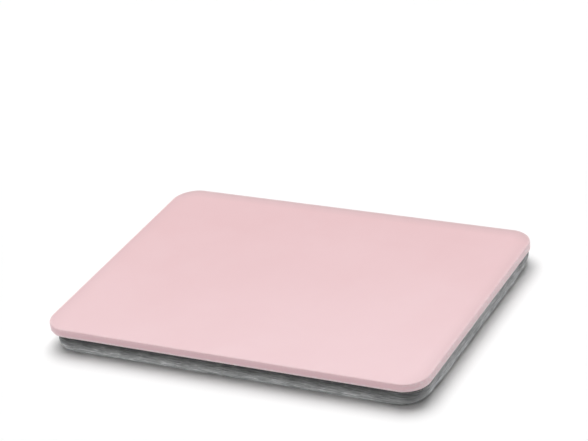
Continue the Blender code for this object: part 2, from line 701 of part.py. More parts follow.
def main():
    """Build the lap desk."""
    clear_scene()
    model = make_collection(MODEL_COLLECTION)
    cutters = make_collection(CUTTER_COLLECTION)

    film = make_material("pink film", (0.86, 0.62, 0.65), 0.42)
    panel = make_material("fibreboard", (0.45, 0.31, 0.19), 0.85)
    backing = make_material("backing paper", (0.76, 0.72, 0.68), 0.7)
    cloth = make_material("grey cloth", (0.17, 0.18, 0.18), 0.95)
    foam = make_material("memory foam", (0.80, 0.77, 0.66), 0.95)
    hook = make_material("hook tape", (0.05, 0.05, 0.05), 0.8)
    loop = make_material("loop tape", (0.07, 0.07, 0.07), 0.95)
    tape = make_material("zip tape", (0.10, 0.10, 0.105), 0.9)
    nylon = make_material("zip nylon", (0.09, 0.09, 0.095), 0.45)
    metal = make_material("zip metal", (0.33, 0.33, 0.34), 0.35, 1.0)

    cushion_group = make_pivot("cushion", (0, 0, 0), model)
    board_group = make_pivot("board", (0, 0, board_underside()), model)
    hook_top = board_underside() - SEAT_GAP
    loop_top = hook_top - HOOK_THICKNESS - SEAT_GAP

    for piece in make_cushion(model, cutters, cloth, foam):
        attach(piece, cushion_group)
    for piece in make_strips("loop", loop_top, LOOP_THICKNESS, model, loop):
        attach(piece, cushion_group)
    for piece in make_zip_rows(model, tape, nylon):
        attach(piece, cushion_group)
    for piece in make_stops(model, cutters, metal):
        attach(piece, cushion_group)

    slider = make_slider(model, cutters, metal)
    attach(slider, cushion_group)
    attach(make_pull(model, metal), slider)
    for cutter in cutters.objects:
        attach(cutter, cushion_group)
    cushion_group.location = (CUSHION_SHIFT_X, CUSHION_SHIFT_Y, 0)

    for piece in make_board(model, cutters, film, panel, backing):
        attach(piece, board_group)
    for piece in make_strips("hook", hook_top, HOOK_THICKNESS, model, hook):
        attach(piece, board_group)
    attach(board_group, cushion_group)

    pull_x = SLIDER_PLACE + CUSHION_SHIFT_X
    pull_y = PULL_AXIS_DEPTH + CUSHION_SHIFT_Y
    print(f"Board underside at {board_underside() * 1000:.2f} mm, zip travel {ZIP_TRAVEL * 1000:.1f} mm, "
          f"pull axis at x {pull_x * 1000:.2f}, y {pull_y * 1000:.2f} mm")


main()
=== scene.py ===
"""Lap desk: the finished look of a film-covered board on a thin cushion in a zipped heather cover.

Metres, +Z up, +X to the right and +Y to the back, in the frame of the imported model. The cushion
stands on the floor. The board lies on it, held by hook-and-loop tapes, and the cover closes with a
zip along the rear.
"""

import logging
import math
import random
from abc import ABC, abstractmethod
from collections.abc import Sequence
from dataclasses import dataclass
from enum import Enum

import bmesh
import bpy
from mathutils import Matrix, Vector, noise


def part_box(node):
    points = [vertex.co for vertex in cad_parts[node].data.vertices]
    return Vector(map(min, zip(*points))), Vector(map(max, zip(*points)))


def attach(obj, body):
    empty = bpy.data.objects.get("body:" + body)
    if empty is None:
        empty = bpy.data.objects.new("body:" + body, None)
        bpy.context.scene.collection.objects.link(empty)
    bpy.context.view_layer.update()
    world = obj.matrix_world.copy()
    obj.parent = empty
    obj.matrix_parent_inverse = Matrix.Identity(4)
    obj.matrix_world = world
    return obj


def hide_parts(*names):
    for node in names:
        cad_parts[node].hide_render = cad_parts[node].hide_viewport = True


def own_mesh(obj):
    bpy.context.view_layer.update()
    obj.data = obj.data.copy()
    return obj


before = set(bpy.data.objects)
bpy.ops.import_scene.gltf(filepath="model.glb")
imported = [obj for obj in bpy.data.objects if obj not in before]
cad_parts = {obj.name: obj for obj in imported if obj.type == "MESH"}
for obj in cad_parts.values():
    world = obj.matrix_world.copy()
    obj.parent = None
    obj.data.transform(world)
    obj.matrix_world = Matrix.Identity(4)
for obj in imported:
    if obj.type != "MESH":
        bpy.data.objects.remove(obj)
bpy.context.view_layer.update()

MILLIMETRE = 0.001
WELD_DISTANCE = 0.002 * MILLIMETRE
FLAT_ANGLE = math.radians(1)
HARD_ANGLE = math.radians(30)
CREASE_ANGLE = math.radians(40)
CLOTH_CREASE_ANGLE = math.radians(60)
REAR_FACING = 0.999

BLACK = (0.0, 0.0, 0.0)
WHITE = (1.0, 1.0, 1.0)
SHARE_SPAN = (0.0, 1.0)
WAVE_SPAN = (-1.0, 1.0)
NOISE_SPAN = (0.3, 0.7)

Color = tuple[float, float, float]
Triple = tuple[float, float, float]
Point = tuple[float, float]
Cell = tuple[int, int]
Shape = tuple[list[Vector], list[list[int]]]
Socket = bpy.types.NodeSocket
Value = float | Socket

logger = logging.getLogger("lap_desk")


class Body(Enum):
    """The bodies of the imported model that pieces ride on."""

    CUSHION = "cushion"
    BOARD = "board"
    SLIDER = "zip_slider_body"
    PULL = "zip_pull_body"


class Slot(Enum):
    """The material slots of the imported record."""

    FILM = "pink_film"
    HOOK_TAPE = "hook_tape"
    LOOP_TAPE = "loop_tape"
    CLOTH = "grey_cloth"
    FOAM = "foam"
    ZIP_TAPE = "zip_tape"
    ZIP_TEETH = "zip_teeth"
    ZIP_METAL = "zip_metal"


class Side(Enum):
    """The four sides that carry hook-and-loop tapes."""

    FRONT = "front"
    BACK = "back"
    LEFT = "left"
    RIGHT = "right"


class Panel(Enum):
    """The cloth panels of the cover. The value is the panel's material index while it is made."""

    TOP = 0
    WALL = 1
    BOTTOM = 2
    DROPPED = 3


class Row(Enum):
    """The upper and the lower half of the zip. The value is the half's side of the middle line."""

    UPPER = 1
    LOWER = -1


class Stretch(Enum):
    """A stretch of the zip: the end that lies in the slider when the zip is open, and the rest."""

    THROAT = "throat"
    OPENING = "opening"


class NodeGraph:
    """A node tree, with short calls for the nodes that the finishes and the light share."""

    def __init__(self, tree: bpy.types.NodeTree) -> None:
        """Work on a tree.

        Args:
            tree: The node tree of a material or of the world.
        """
        self.nodes = tree.nodes
        self.links = tree.links

    def feed(self, target: Socket, value: Value) -> None:
        """Link a node's output to a socket, or write a constant there.

        Args:
            target: The socket.
            value: The output or the constant.
        """
        if isinstance(value, Socket):
            self.links.new(value, target)
        else:
            target.default_value = value

    def place(self) -> Socket:
        """Return the object's own coordinates, in metres."""
        return self.nodes.new("ShaderNodeTexCoord").outputs["Object"]

    def direction(self) -> Socket:
        """Return the direction that the world is looked at in."""
        return self.nodes.new("ShaderNodeTexCoord").outputs["Generated"]

    def ray(self, kind: str) -> Socket:
        """Return 1 for rays of one kind, such as Is Camera Ray, and 0 for others."""
        return self.nodes.new("ShaderNodeLightPath").outputs[kind]

    def attribute(self, name: str) -> bpy.types.Node:
        """Return a node that reads a value stored on the mesh.

        Args:
            name: The value's name.

        Returns:
            The node.
        """
        node = self.nodes.new("ShaderNodeAttribute")
        node.attribute_name = name
        return node

    def split(self, place: Socket) -> tuple[Socket, Socket, Socket]:
        """Return the three parts of a vector.

        Args:
            place: The vector.

        Returns:
            Its parts along X, Y and Z.
        """
        node = self.nodes.new("ShaderNodeSeparateXYZ")
        self.links.new(place, node.inputs[0])
        return node.outputs[0], node.outputs[1], node.outputs[2]

    def join(self, x: Value, y: Value) -> Socket:
        """Return a vector made of two numbers and 0.

        Args:
            x: The first number.
            y: The second number.

        Returns:
            The vector.
        """
        node = self.nodes.new("ShaderNodeCombineXYZ")
        for target, value in zip(node.inputs, (x, y)):
            self.feed(target, value)
        return node.outputs[0]

    def math(self, operation: str, *values: Value) -> Socket:
        """Return the result of a sum or function of numbers.

        Args:
            operation: The function's name in the Math node.
            values: The numbers it takes.

        Returns:
            The result.
        """
        node = self.nodes.new("ShaderNodeMath")
        node.operation = operation
        for target, value in zip(node.inputs, values):
            self.feed(target, value)
        return node.outputs[0]

    def total(self, *values: Socket) -> Socket:
        """Return the sum of several numbers.

        Args:
            values: The numbers.

        Returns:
            Their sum, added up in this order.
        """
        result = values[0]
        for value in values[1:]:
            result = self.math("ADD", result, value)
        return result

    def choose(self, flag: Socket, chosen: Value, other: Value) -> Socket:
        """Return one value where a flag is 1, another where it is 0, and a mix in between."""
        rest = self.math("MULTIPLY", self.math("SUBTRACT", 1.0, flag), other)
        return self.math("ADD", self.math("MULTIPLY", flag, chosen), rest)

    def wave(self, value: Socket, turn: float) -> Socket:
        """Return a sine wave from -1 to 1, with its turn in radians for each unit of a number."""
        return self.math("SINE", self.math("MULTIPLY", value, turn))

    def weave(self, x: Socket, y: Socket, turn: float) -> Socket:
        """Return the product of two crossing waves, from -1 to 1."""
        return self.math("MULTIPLY", self.wave(x, turn), self.wave(y, turn))

    def noise(self, place: Socket, scale: float, detail: float) -> Socket:
        """Return smooth noise from 0 to 1, around 0.5.

        Args:
            place: The coordinates.
            scale: How many noise cells one unit of the coordinates holds.
            detail: How many finer layers are laid over the first.

        Returns:
            The noise value.
        """
        node = self.nodes.new("ShaderNodeTexNoise")
        self.links.new(place, node.inputs["Vector"])
        node.inputs["Scale"].default_value = scale
        node.inputs["Detail"].default_value = detail
        return node.outputs["Fac"]

    def grain(self, place: Socket, scale: Triple, detail: float) -> Socket:
        """Return smooth noise that is drawn out along some axes.

        Args:
            place: The coordinates.
            scale: How many noise cells one metre holds, along each axis.
            detail: How many finer layers are laid over the first.

        Returns:
            The noise value, from 0 to 1.
        """
        node = self.nodes.new("ShaderNodeVectorMath")
        node.operation = "MULTIPLY"
        self.links.new(place, node.inputs[0])
        node.inputs[1].default_value = scale
        return self.noise(node.outputs[0], 1.0, detail)

    def cells(self, place: Socket, scale: float) -> Socket:
        """Return the distance to the nearest of scattered cells.

        Args:
            place: The coordinates.
            scale: How many cells one metre holds.

        Returns:
            The distance, in cells.
        """
        node = self.nodes.new("ShaderNodeTexVoronoi")
        self.links.new(place, node.inputs["Vector"])
        node.inputs["Scale"].default_value = scale
        return node.outputs["Distance"]

    def remap(self, value: Socket, source: Point, target: Point = SHARE_SPAN) -> Socket:
        """Return a number moved from one range to another, and held inside it.

        Args:
            value: The number.
            source: The range that is read.
            target: The range that comes out.

        Returns:
            The number in the new range.
        """
        node = self.nodes.new("ShaderNodeMapRange")
        self.links.new(value, node.inputs["Value"])
        names = ("From Min", "From Max", "To Min", "To Max")
        for name, number in zip(names, (*source, *target)):
            node.inputs[name].default_value = number
        return node.outputs["Result"]

    def tint(self, share: Socket, first: Color | Socket, second: Color | Socket) -> Socket:
        """Return a mix of two colours.

        Args:
            share: How much of the second colour shows, from 0 to 1.
            first: The colour at 0.
            second: The colour at 1.

        Returns:
            The mixed colour.
        """
        node = self.nodes.new("ShaderNodeMix")
        node.data_type = "RGBA"
        self.links.new(share, node.inputs[0])
        for target, value in zip((node.inputs[6], node.inputs[7]), (first, second)):
            self.feed(target, (*value, 1.0) if isinstance(value, tuple) else value)
        return node.outputs[2]


class ShaderGraph(NodeGraph):
    """The node tree of one material, round its Principled shader."""

    def __init__(self, name: str) -> None:
        """Start a material that holds one Principled shader.

        Args:
            name: The material's name.
        """
        self.material = bpy.data.materials.new(name)
        self.material.use_nodes = True
        super().__init__(self.material.node_tree)
        self.shader = self.nodes["Principled BSDF"]

    def constant(self, **values: float | Color) -> None:
        """Set sockets of the shader, named with _ for a space, to one value all over.

        Args:
            values: The value of each socket: a number or a colour.
        """
        for name, value in values.items():
            socket = self.shader.inputs[name.replace("_", " ")]
            socket.default_value = (*value, 1.0) if isinstance(value, tuple) else value

    def drive(self, name: str, source: Socket) -> None:
        """Let a node's output set one of the shader's sockets."""
        self.links.new(source, self.shader.inputs[name])

    def colour(self, share: Socket, first: Color | Socket, second: Color | Socket) -> None:
        """Colour the surface with a mix of two colours, the second of them where the share is 1."""
        self.drive("Base Color", self.tint(share, first, second))

    def relief(self, *layers: tuple[Socket, float]) -> None:
        """Raise the surface by patterns.

        Args:
            layers: Each pattern, from 0 to 1, with its depth in metres.
        """
        normal = None
        for height, depth in layers:
            node = self.nodes.new("ShaderNodeBump")
            node.inputs["Distance"].default_value = depth
            self.links.new(height, node.inputs["Height"])
            if normal is not None:
                self.links.new(normal, node.inputs["Normal"])
            normal = node.outputs["Normal"]
        if normal is not None:
            self.drive("Normal", normal)


class Finish(ABC):
    """A finish that a piece can wear. Its name is the material's."""

    name: str

    @abstractmethod
    def paint(self, graph: ShaderGraph) -> None:
        """Build the finish's nodes in the graph of its material."""

    def dress(self, *pieces: bpy.types.Object) -> None:
        """Put this finish on pieces, in place of what they wear.

        Args:
            pieces: The pieces. They share one new material.
        """
        graph = ShaderGraph(self.name)
        self.paint(graph)
        for piece in pieces:
            piece.data.materials.clear()
            piece.data.materials.append(graph.material)


@dataclass(frozen=True)
class SatinFilm(Finish):
    """The smooth film over the board: a fine grain, a faint orange peel and worn edges.

    The top is painted lighter towards the front right and pinker towards the rear, as the lamps
    fall across it. The side wears one pink of its own, painted to the tone that the side shows
    under the lamps. Painted shade darkens the rear and side edges of the top, in place of a dark
    reflection. The edges are painted paler on the lower edge and the right side, where the
    floor's light and its reflection fall.
    """

    name: str = "satin film"
    # Painted light runs from the rear's pink to the lighter pink at the front right.
    pink: Color = (0.735, 0.470, 0.490)
    lit_pink: Color = (0.825, 0.592, 0.620)
    # The side's pink is painted light: it is set to the tone that the side shows under the lamps.
    kept: Color = (0.830, 0.540, 0.580)
    # Painted shade for the rear and side edges of the top, in place of a dark reflection.
    painted_rim_shade: Color = (0.590, 0.395, 0.412)
    # Pale of rubbed edges. The same pale also paints the floor's light on the lower edge and its
    # reflection on the right side.
    rubbed: Color = (0.900, 0.790, 0.800)
    painted_light_slope: Point = (0.82, -2.7)
    cloud_size: float = 90 * MILLIMETRE
    cloud_tones: Point = (0.25, 0.45)
    scuff_grain: Triple = (260, 260, 900)
    scuff_span: Point = (0.4, 0.62)
    scuff_tones: Point = (0.15, 0.8)
    haze_size: float = 27 * MILLIMETRE
    roughness: Point = (0.40, 0.50)
    grain_size: float = 0.4 * MILLIMETRE
    grain_depth: float = 0.004 * MILLIMETRE
    peel_size: float = 4 * MILLIMETRE
    peel_depth: float = 0.010 * MILLIMETRE

    def paint(self, graph: ShaderGraph) -> None:
        """Build the finish's nodes in the graph of its material.

        Args:
            graph: The graph of the material.
        """
        place = graph.place()
        x, y, _ = graph.split(place)
        clouds = graph.noise(place, 1 / self.cloud_size, 3)
        # Painted light: lighter towards the front right, darker and pinker towards the rear, as the
        # lamps fall off.
        pale = graph.total(
            graph.math("MULTIPLY", x, self.painted_light_slope[0]),
            graph.math("MULTIPLY", y, self.painted_light_slope[1]),
            graph.remap(clouds, NOISE_SPAN, self.cloud_tones),
        )
        top = graph.tint(pale, self.pink, self.lit_pink)
        # Painted light: the side wears its own pink, set to its tone under the lamps.
        plain = graph.tint(graph.attribute("side").outputs["Fac"], top, self.kept)
        # Painted shade along the rear and side edges of the top.
        plain = graph.tint(graph.attribute("rim").outputs["Fac"], plain, self.painted_rim_shade)
        scuffs = graph.grain(place, self.scuff_grain, 4)
        scuffed = graph.remap(scuffs, self.scuff_span, self.scuff_tones)
        # Real wear at the top edge. On the lower edge and the right side this paleness is also
        # painted light from the floor and its reflection.
        rub_and_sheen = graph.math("MULTIPLY", graph.attribute("wear").outputs["Fac"], scuffed)
        graph.colour(rub_and_sheen, plain, self.rubbed)
        haze = graph.noise(place, 1 / self.haze_size, 3)
        graph.drive("Roughness", graph.remap(haze, NOISE_SPAN, self.roughness))
        graph.constant(IOR=1.48, Coat_Weight=0.6, Coat_Roughness=0.35)
        grain = graph.noise(place, 1 / self.grain_size, 2)
        peel = graph.noise(place, 1 / self.peel_size, 2)
        graph.relief((peel, self.peel_depth), (grain, self.grain_depth))


@dataclass(frozen=True)
class HeatherCloth(Finish):
    """Plain-woven cloth of light and dark yarns, with slubs that run along the weft."""

    name: str = "heather cloth"
    dark: Color = (0.27, 0.28, 0.283)
    light: Color = (0.95, 0.965, 0.97)
    yarn_pitch: float = 0.55 * MILLIMETRE
    yarn_depth: float = 0.09 * MILLIMETRE
    yarn_round: float = 0.6
    yarn_stride: float = 7.31
    yarn_share: float = 0.20
    warp_tones: Point = (0.3, 0.6)
    crossing: Point = (-0.25, 0.25)
    slub_length: float = 16 * MILLIMETRE
    slub_width: float = 1.2 * MILLIMETRE
    slub_span: Point = (0.35, 0.65)
    slub_tones: Point = (0.0, 0.50)
    slub_depth: float = 0.054 * MILLIMETRE
    fleck_length: float = 9 * MILLIMETRE
    fleck_width: float = 0.8 * MILLIMETRE
    fleck_span: Point = (0.54, 0.70)
    fleck_tones: Point = (0.0, 0.5)
    cloud_size: float = 32 * MILLIMETRE
    cloud_tones: Point = (0.0, 0.2)
    fuzz_size: float = 0.12 * MILLIMETRE
    fuzz_depth: float = 0.027 * MILLIMETRE

    def paint(self, graph: ShaderGraph) -> None:
        """Build the finish's nodes in the graph of its material.

        Args:
            graph: The graph of the material.
        """
        cloth = graph.attribute("cloth").outputs["Vector"]
        along, across, _ = graph.split(cloth)
        warp_place = graph.math("DIVIDE", along, self.yarn_pitch)
        weft_place = graph.math("DIVIDE", across, self.yarn_pitch)
        over = graph.weave(warp_place, weft_place, math.pi)
        warp = self.yarn_tone(graph, warp_place, across, self.warp_tones)
        weft = self.yarn_tone(graph, weft_place, along, SHARE_SPAN)
        yarns = graph.choose(graph.remap(over, self.crossing), weft, warp)
        slubs = graph.grain(cloth, (1 / self.slub_length, 1 / self.slub_width, 1), 3)
        flecks = graph.grain(cloth, (1 / self.fleck_length, 1 / self.fleck_width, 1), 2)
        clouds = graph.noise(cloth, 1 / self.cloud_size, 3)
        tone = graph.total(
            graph.math("MULTIPLY", yarns, self.yarn_share),
            graph.remap(slubs, self.slub_span, self.slub_tones),
            graph.remap(flecks, self.fleck_span, self.fleck_tones),
            graph.remap(clouds, NOISE_SPAN, self.cloud_tones),
        )
        lit = graph.tint(tone, self.dark, self.light)
        # Painted shade: the cloth darkens towards black under the board, most at the head of the
        # front wall.
        graph.colour(graph.attribute("shade").outputs["Fac"], lit, BLACK)
        graph.constant(Roughness=0.92, Specular_IOR_Level=0.25)
        graph.constant(Sheen_Weight=0.1, Sheen_Roughness=0.5)
        yarn = graph.math("POWER", graph.math("ABSOLUTE", over), self.yarn_round)
        fuzz = graph.noise(cloth, 1 / self.fuzz_size, 2)
        graph.relief((slubs, self.slub_depth), (yarn, self.yarn_depth), (fuzz, self.fuzz_depth))

    def yarn_tone(
        self, graph: ShaderGraph, number: Socket, along: Socket, tones: Point
    ) -> Socket:
        """Return how light each yarn is, changing slowly along it.

        Args:
            graph: The graph of the material.
            number: The place across the yarns, in yarns.
            along: The place along the yarn, in metres.
            tones: The darkest and the lightest tone.

        Returns:
            The tone, from 0 to 1.
        """
        place = graph.join(
            graph.math("MULTIPLY", graph.math("FLOOR", number), self.yarn_stride),
            graph.math("DIVIDE", along, self.slub_length),
        )
        return graph.remap(graph.noise(place, 1.0, 2), NOISE_SPAN, tones)


@dataclass(frozen=True)
class MemoryFoam(Finish):
    """Cream foam with fine open cells."""

    name: str = "memory foam"
    cream: Color = (0.80, 0.77, 0.66)
    pore: Color = (0.60, 0.55, 0.42)
    cell_size: float = 0.7 * MILLIMETRE
    cell_depth: float = 0.14 * MILLIMETRE
    pore_span: Point = (0.15, 0.55)

    def paint(self, graph: ShaderGraph) -> None:
        """Build the finish's nodes in the graph of its material.

        Args:
            graph: The graph of the material.
        """
        cells = graph.cells(graph.place(), 1 / self.cell_size)
        graph.colour(graph.remap(cells, self.pore_span, (1, 0)), self.cream, self.pore)
        graph.constant(Roughness=0.95, Subsurface_Weight=0.1, Subsurface_Scale=0.002)
        graph.relief((cells, self.cell_depth))


@dataclass(frozen=True)
class Fibreboard(Finish):
    """Pressed wood fibre: short pale and dark fibres, lying flat."""

    name: str = "fibreboard"
    pale: Color = (0.50, 0.35, 0.22)
    dark: Color = (0.33, 0.21, 0.12)
    fibre_length: float = 2.5 * MILLIMETRE
    fibre_width: float = 0.3 * MILLIMETRE
    fibre_depth: float = 0.05 * MILLIMETRE

    def paint(self, graph: ShaderGraph) -> None:
        """Build the finish's nodes in the graph of its material.

        Args:
            graph: The graph of the material.
        """
        lengths = (self.fibre_length, self.fibre_length, self.fibre_width)
        fibres = graph.grain(graph.place(), tuple(1 / length for length in lengths), 4)
        graph.colour(graph.remap(fibres, NOISE_SPAN), self.dark, self.pale)
        graph.constant(Roughness=0.85)
        graph.relief((fibres, self.fibre_depth))


@dataclass(frozen=True)
class BackingPaper(Finish):
    """The pale sheet under the board: pressed fibres with a dull, slightly uneven face."""

    name: str = "backing paper"
    pale: Color = (0.76, 0.72, 0.68)
    dark: Color = (0.66, 0.61, 0.57)
    fibre_length: float = 5 * MILLIMETRE
    fibre_width: float = 0.35 * MILLIMETRE
    fibre_depth: float = 0.03 * MILLIMETRE
    fibre_span: Point = (0.38, 0.6)

    def paint(self, graph: ShaderGraph) -> None:
        """Build the finish's nodes in the graph of its material.

        Args:
            graph: The graph of the material.
        """
        place = graph.place()
        long, short = 1 / self.fibre_length, 1 / self.fibre_width
        both = graph.total(
            graph.grain(place, (long, short, short), 3),
            graph.grain(place, (short, long, short), 3),
        )
        fibres = graph.math("MULTIPLY", both, 0.5)
        graph.colour(graph.remap(fibres, self.fibre_span), self.dark, self.pale)
        graph.constant(Roughness=0.8)
        graph.relief((fibres, self.fibre_depth))


@dataclass(frozen=True)
class FastenerNylon(Finish):
    """Black nylon of the hook and the loop tapes, a little lighter where it is rubbed."""

    name: str
    dark: Color
    pale: Color
    roughness: float
    sheen: float
    rib_pitch: float = 0.5 * MILLIMETRE
    rib_depth: float = 0.06 * MILLIMETRE
    lint_size: float = 3 * MILLIMETRE
    lint_span: Point = (0.42, 0.7)

    def paint(self, graph: ShaderGraph) -> None:
        """Build the finish's nodes in the graph of its material.

        Args:
            graph: The graph of the material.
        """
        place = graph.place()
        x, y, _ = graph.split(place)
        lint = graph.noise(place, 1 / self.lint_size, 4)
        graph.colour(graph.remap(lint, self.lint_span), self.dark, self.pale)
        graph.constant(Roughness=self.roughness, Sheen_Weight=self.sheen, Sheen_Roughness=0.4)
        ribs = graph.weave(x, y, 2 * math.pi / self.rib_pitch)
        graph.relief((graph.remap(ribs, WAVE_SPAN), self.rib_depth))


@dataclass(frozen=True)
class ZipWebbing(Finish):
    """Dark twill tape that carries the teeth: slanting ribs that turn at each band."""

    name: str = "zip webbing"
    dark: Color = (0.075, 0.077, 0.080)
    pale: Color = (0.145, 0.148, 0.152)
    rib_pitch: float = 0.8 * MILLIMETRE
    rib_depth: float = 0.08 * MILLIMETRE
    band: float = 1.6 * MILLIMETRE
    lint_tones: Point = (0.4, 1.0)

    def paint(self, graph: ShaderGraph) -> None:
        """Build the finish's nodes in the graph of its material.

        Args:
            graph: The graph of the material.
        """
        place = graph.place()
        x, _, z = graph.split(place)
        slanted = graph.total(x, graph.math("PINGPONG", z, self.band))
        ribs = graph.remap(graph.wave(slanted, 2 * math.pi / self.rib_pitch), WAVE_SPAN)
        lint = graph.remap(graph.noise(place, 1 / self.band, 4), NOISE_SPAN, self.lint_tones)
        graph.colour(graph.math("MULTIPLY", ribs, lint), self.dark, self.pale)
        graph.constant(Roughness=0.88, Sheen_Weight=0.15, Sheen_Roughness=0.5)
        graph.relief((ribs, self.rib_depth))


@dataclass(frozen=True)
class MouldedNylon(Finish):
    """The satin nylon of the teeth, paler where it is rubbed."""

    name: str = "moulded nylon"
    dark: Color = (0.080, 0.081, 0.085)
    worn: Color = (0.150, 0.150, 0.155)
    rubs_per_metre: float = 900
    rub_span: Point = (0.5, 0.75)
    roughness: Point = (0.38, 0.52)
    pits_per_metre: float = 3200
    pit_depth: float = 0.01 * MILLIMETRE

    def paint(self, graph: ShaderGraph) -> None:
        """Build the finish's nodes in the graph of its material.

        Args:
            graph: The graph of the material.
        """
        place = graph.place()
        rubs = graph.noise(place, self.rubs_per_metre, 3)
        graph.colour(graph.remap(rubs, self.rub_span), self.dark, self.worn)
        graph.drive("Roughness", graph.remap(rubs, NOISE_SPAN, self.roughness))
        graph.constant(IOR=1.53)
        graph.relief((graph.noise(place, self.pits_per_metre, 2), self.pit_depth))


@dataclass(frozen=True)
class CastMetal(Finish):
    """Plated die-cast metal with fine scratches along its length."""

    name: str = "cast metal"
    bright: Color = (0.40, 0.40, 0.41)
    dull: Color = (0.24, 0.24, 0.25)
    tarnish_per_metre: float = 420
    tarnish_span: Point = (0.4, 0.75)
    scratch_grain: Triple = (240, 5200, 5200)
    scratch_depth: float = 0.006 * MILLIMETRE
    roughness: Point = (0.24, 0.42)

    def paint(self, graph: ShaderGraph) -> None:
        """Build the finish's nodes in the graph of its material.

        Args:
            graph: The graph of the material.
        """
        place = graph.place()
        tarnish = graph.noise(place, self.tarnish_per_metre, 4)
        scratches = graph.grain(place, self.scratch_grain, 3)
        graph.colour(graph.remap(tarnish, self.tarnish_span), self.bright, self.dull)
        graph.drive("Roughness", graph.remap(scratches, NOISE_SPAN, self.roughness))
        graph.constant(Metallic=1.0)
        graph.relief((scratches, self.scratch_depth))


@dataclass(frozen=True)
class SewingThread(Finish):
    """Twisted polyester thread."""

    name: str = "sewing thread"
    dark: Color = (0.14, 0.145, 0.15)
    pale: Color = (0.30, 0.305, 0.31)
    twist_pitch: float = 0.35 * MILLIMETRE
    twist_lean: float = 1.5
    twist_depth: float = 0.05 * MILLIMETRE

    def paint(self, graph: ShaderGraph) -> None:
        """Build the finish's nodes in the graph of its material.

        Args:
            graph: The graph of the material.
        """
        x, y, z = graph.split(graph.place())
        lean = graph.total(x, y, graph.math("MULTIPLY", z, self.twist_lean))
        twist = graph.remap(graph.wave(lean, 2 * math.pi / self.twist_pitch), WAVE_SPAN)
        graph.colour(twist, self.dark, self.pale)
        graph.constant(Roughness=0.7, Sheen_Weight=0.2, Sheen_Roughness=0.4)
        graph.relief((twist, self.twist_depth))


@dataclass(frozen=True)
class StudioFloor(Finish):
    """A pale floor that the camera sees as white and that keeps the shadow."""

    name: str = "studio floor"
    pale: Color = (0.75, 0.75, 0.75)

    def paint(self, graph: ShaderGraph) -> None:
        """Build the finish's nodes in the graph of its material.

        Args:
            graph: The graph of the material.
        """
        seen = graph.math("MAXIMUM", graph.ray("Is Camera Ray"), graph.ray("Is Glossy Ray"))
        graph.colour(seen, self.pale, WHITE)
        graph.constant(Roughness=1.0, Specular_IOR_Level=0.0)


def add_object(name: str, data: bpy.types.ID) -> bpy.types.Object:
    """Return a new object in the scene that holds a mesh, a lamp or a camera.

    Args:
        name: The object's name.
        data: The mesh, lamp or camera.

    Returns:
        The new object.
    """
    new = bpy.data.objects.new(name, data)
    bpy.context.scene.collection.objects.link(new)
    return new


def add_piece(name: str, mesh: bpy.types.Mesh) -> bpy.types.Object:
    """Return a new piece of the scene with a mesh, smooth with crisp edges.

    Args:
        name: The piece's name.
        mesh: Its mesh.

    Returns:
        The new piece.
    """
    mesh.shade_smooth()
    mesh.set_sharp_from_angle(angle=CREASE_ANGLE)
    return add_object(name, mesh)


def mesh_from(name: str, shape: Shape) -> bpy.types.Mesh:
    """Return a mesh made of a shape's points and faces.

    Args:
        name: The mesh's name.
        shape: The shape.

    Returns:
        The new mesh.
    """
    points, faces = shape
    mesh = bpy.data.meshes.new(name)
    mesh.from_pydata([tuple(point) for point in points], [], faces)
    mesh.update()
    return mesh


def joined(*shapes: Shape) -> Shape:
    """Return several shapes as one.

    Args:
        shapes: The shapes.

    Returns:
        One shape with all their points and faces, in order.
    """
    points: list[Vector] = []
    faces: list[list[int]] = []
    for more_points, more_faces in shapes:
        offset = len(points)
        points += more_points
        faces += [[offset + corner for corner in face] for face in more_faces]
    return points, faces


def add_shape(name: str, *shapes: Shape) -> bpy.types.Object:
    """Return a new piece of the scene that is made of shapes, smooth with crisp edges."""
    return add_piece(name, mesh_from(name, joined(*shapes)))


def evaluated_mesh(piece: bpy.types.Object) -> bpy.types.Mesh:
    """Return a piece's mesh as its modifiers leave it."""
    depsgraph = bpy.context.evaluated_depsgraph_get()
    return bpy.data.meshes.new_from_object(piece.evaluated_get(depsgraph), depsgraph=depsgraph)


def bake_modifiers(piece: bpy.types.Object) -> None:
    """Make the result of a piece's modifiers its own mesh.

    Args:
        piece: The piece. It is left without modifiers.
    """
    mesh = evaluated_mesh(piece)
    piece.modifiers.clear()
    piece.data = mesh


def store_vectors(mesh: bpy.types.Mesh, name: str, values: Sequence[Vector]) -> None:
    """Store one vector for each point of a mesh."""
    layer = mesh.attributes.new(name, "FLOAT_VECTOR", "POINT")
    layer.data.foreach_set("vector", [part for value in values for part in value])


def store_numbers(mesh: bpy.types.Mesh, name: str, values: Sequence[float]) -> None:
    """Store one number for each point of a mesh."""
    layer = mesh.attributes.new(name, "FLOAT", "POINT")
    layer.data.foreach_set("value", list(values))


def install(piece: bpy.types.Object, body: Body, slot: Slot, *nodes: str) -> None:
    """Seat a piece on its body, and let it stand for the solids it replaces.

    Args:
        piece: The piece.
        body: The body that it rides on.
        slot: The record's material slot; not used.
        nodes: The solids that it replaces.
    """
    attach(piece, body.value)
    if nodes:
        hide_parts(*nodes)
    logger.info("%s: %d faces on %s", piece.name, len(piece.data.polygons), body.value)


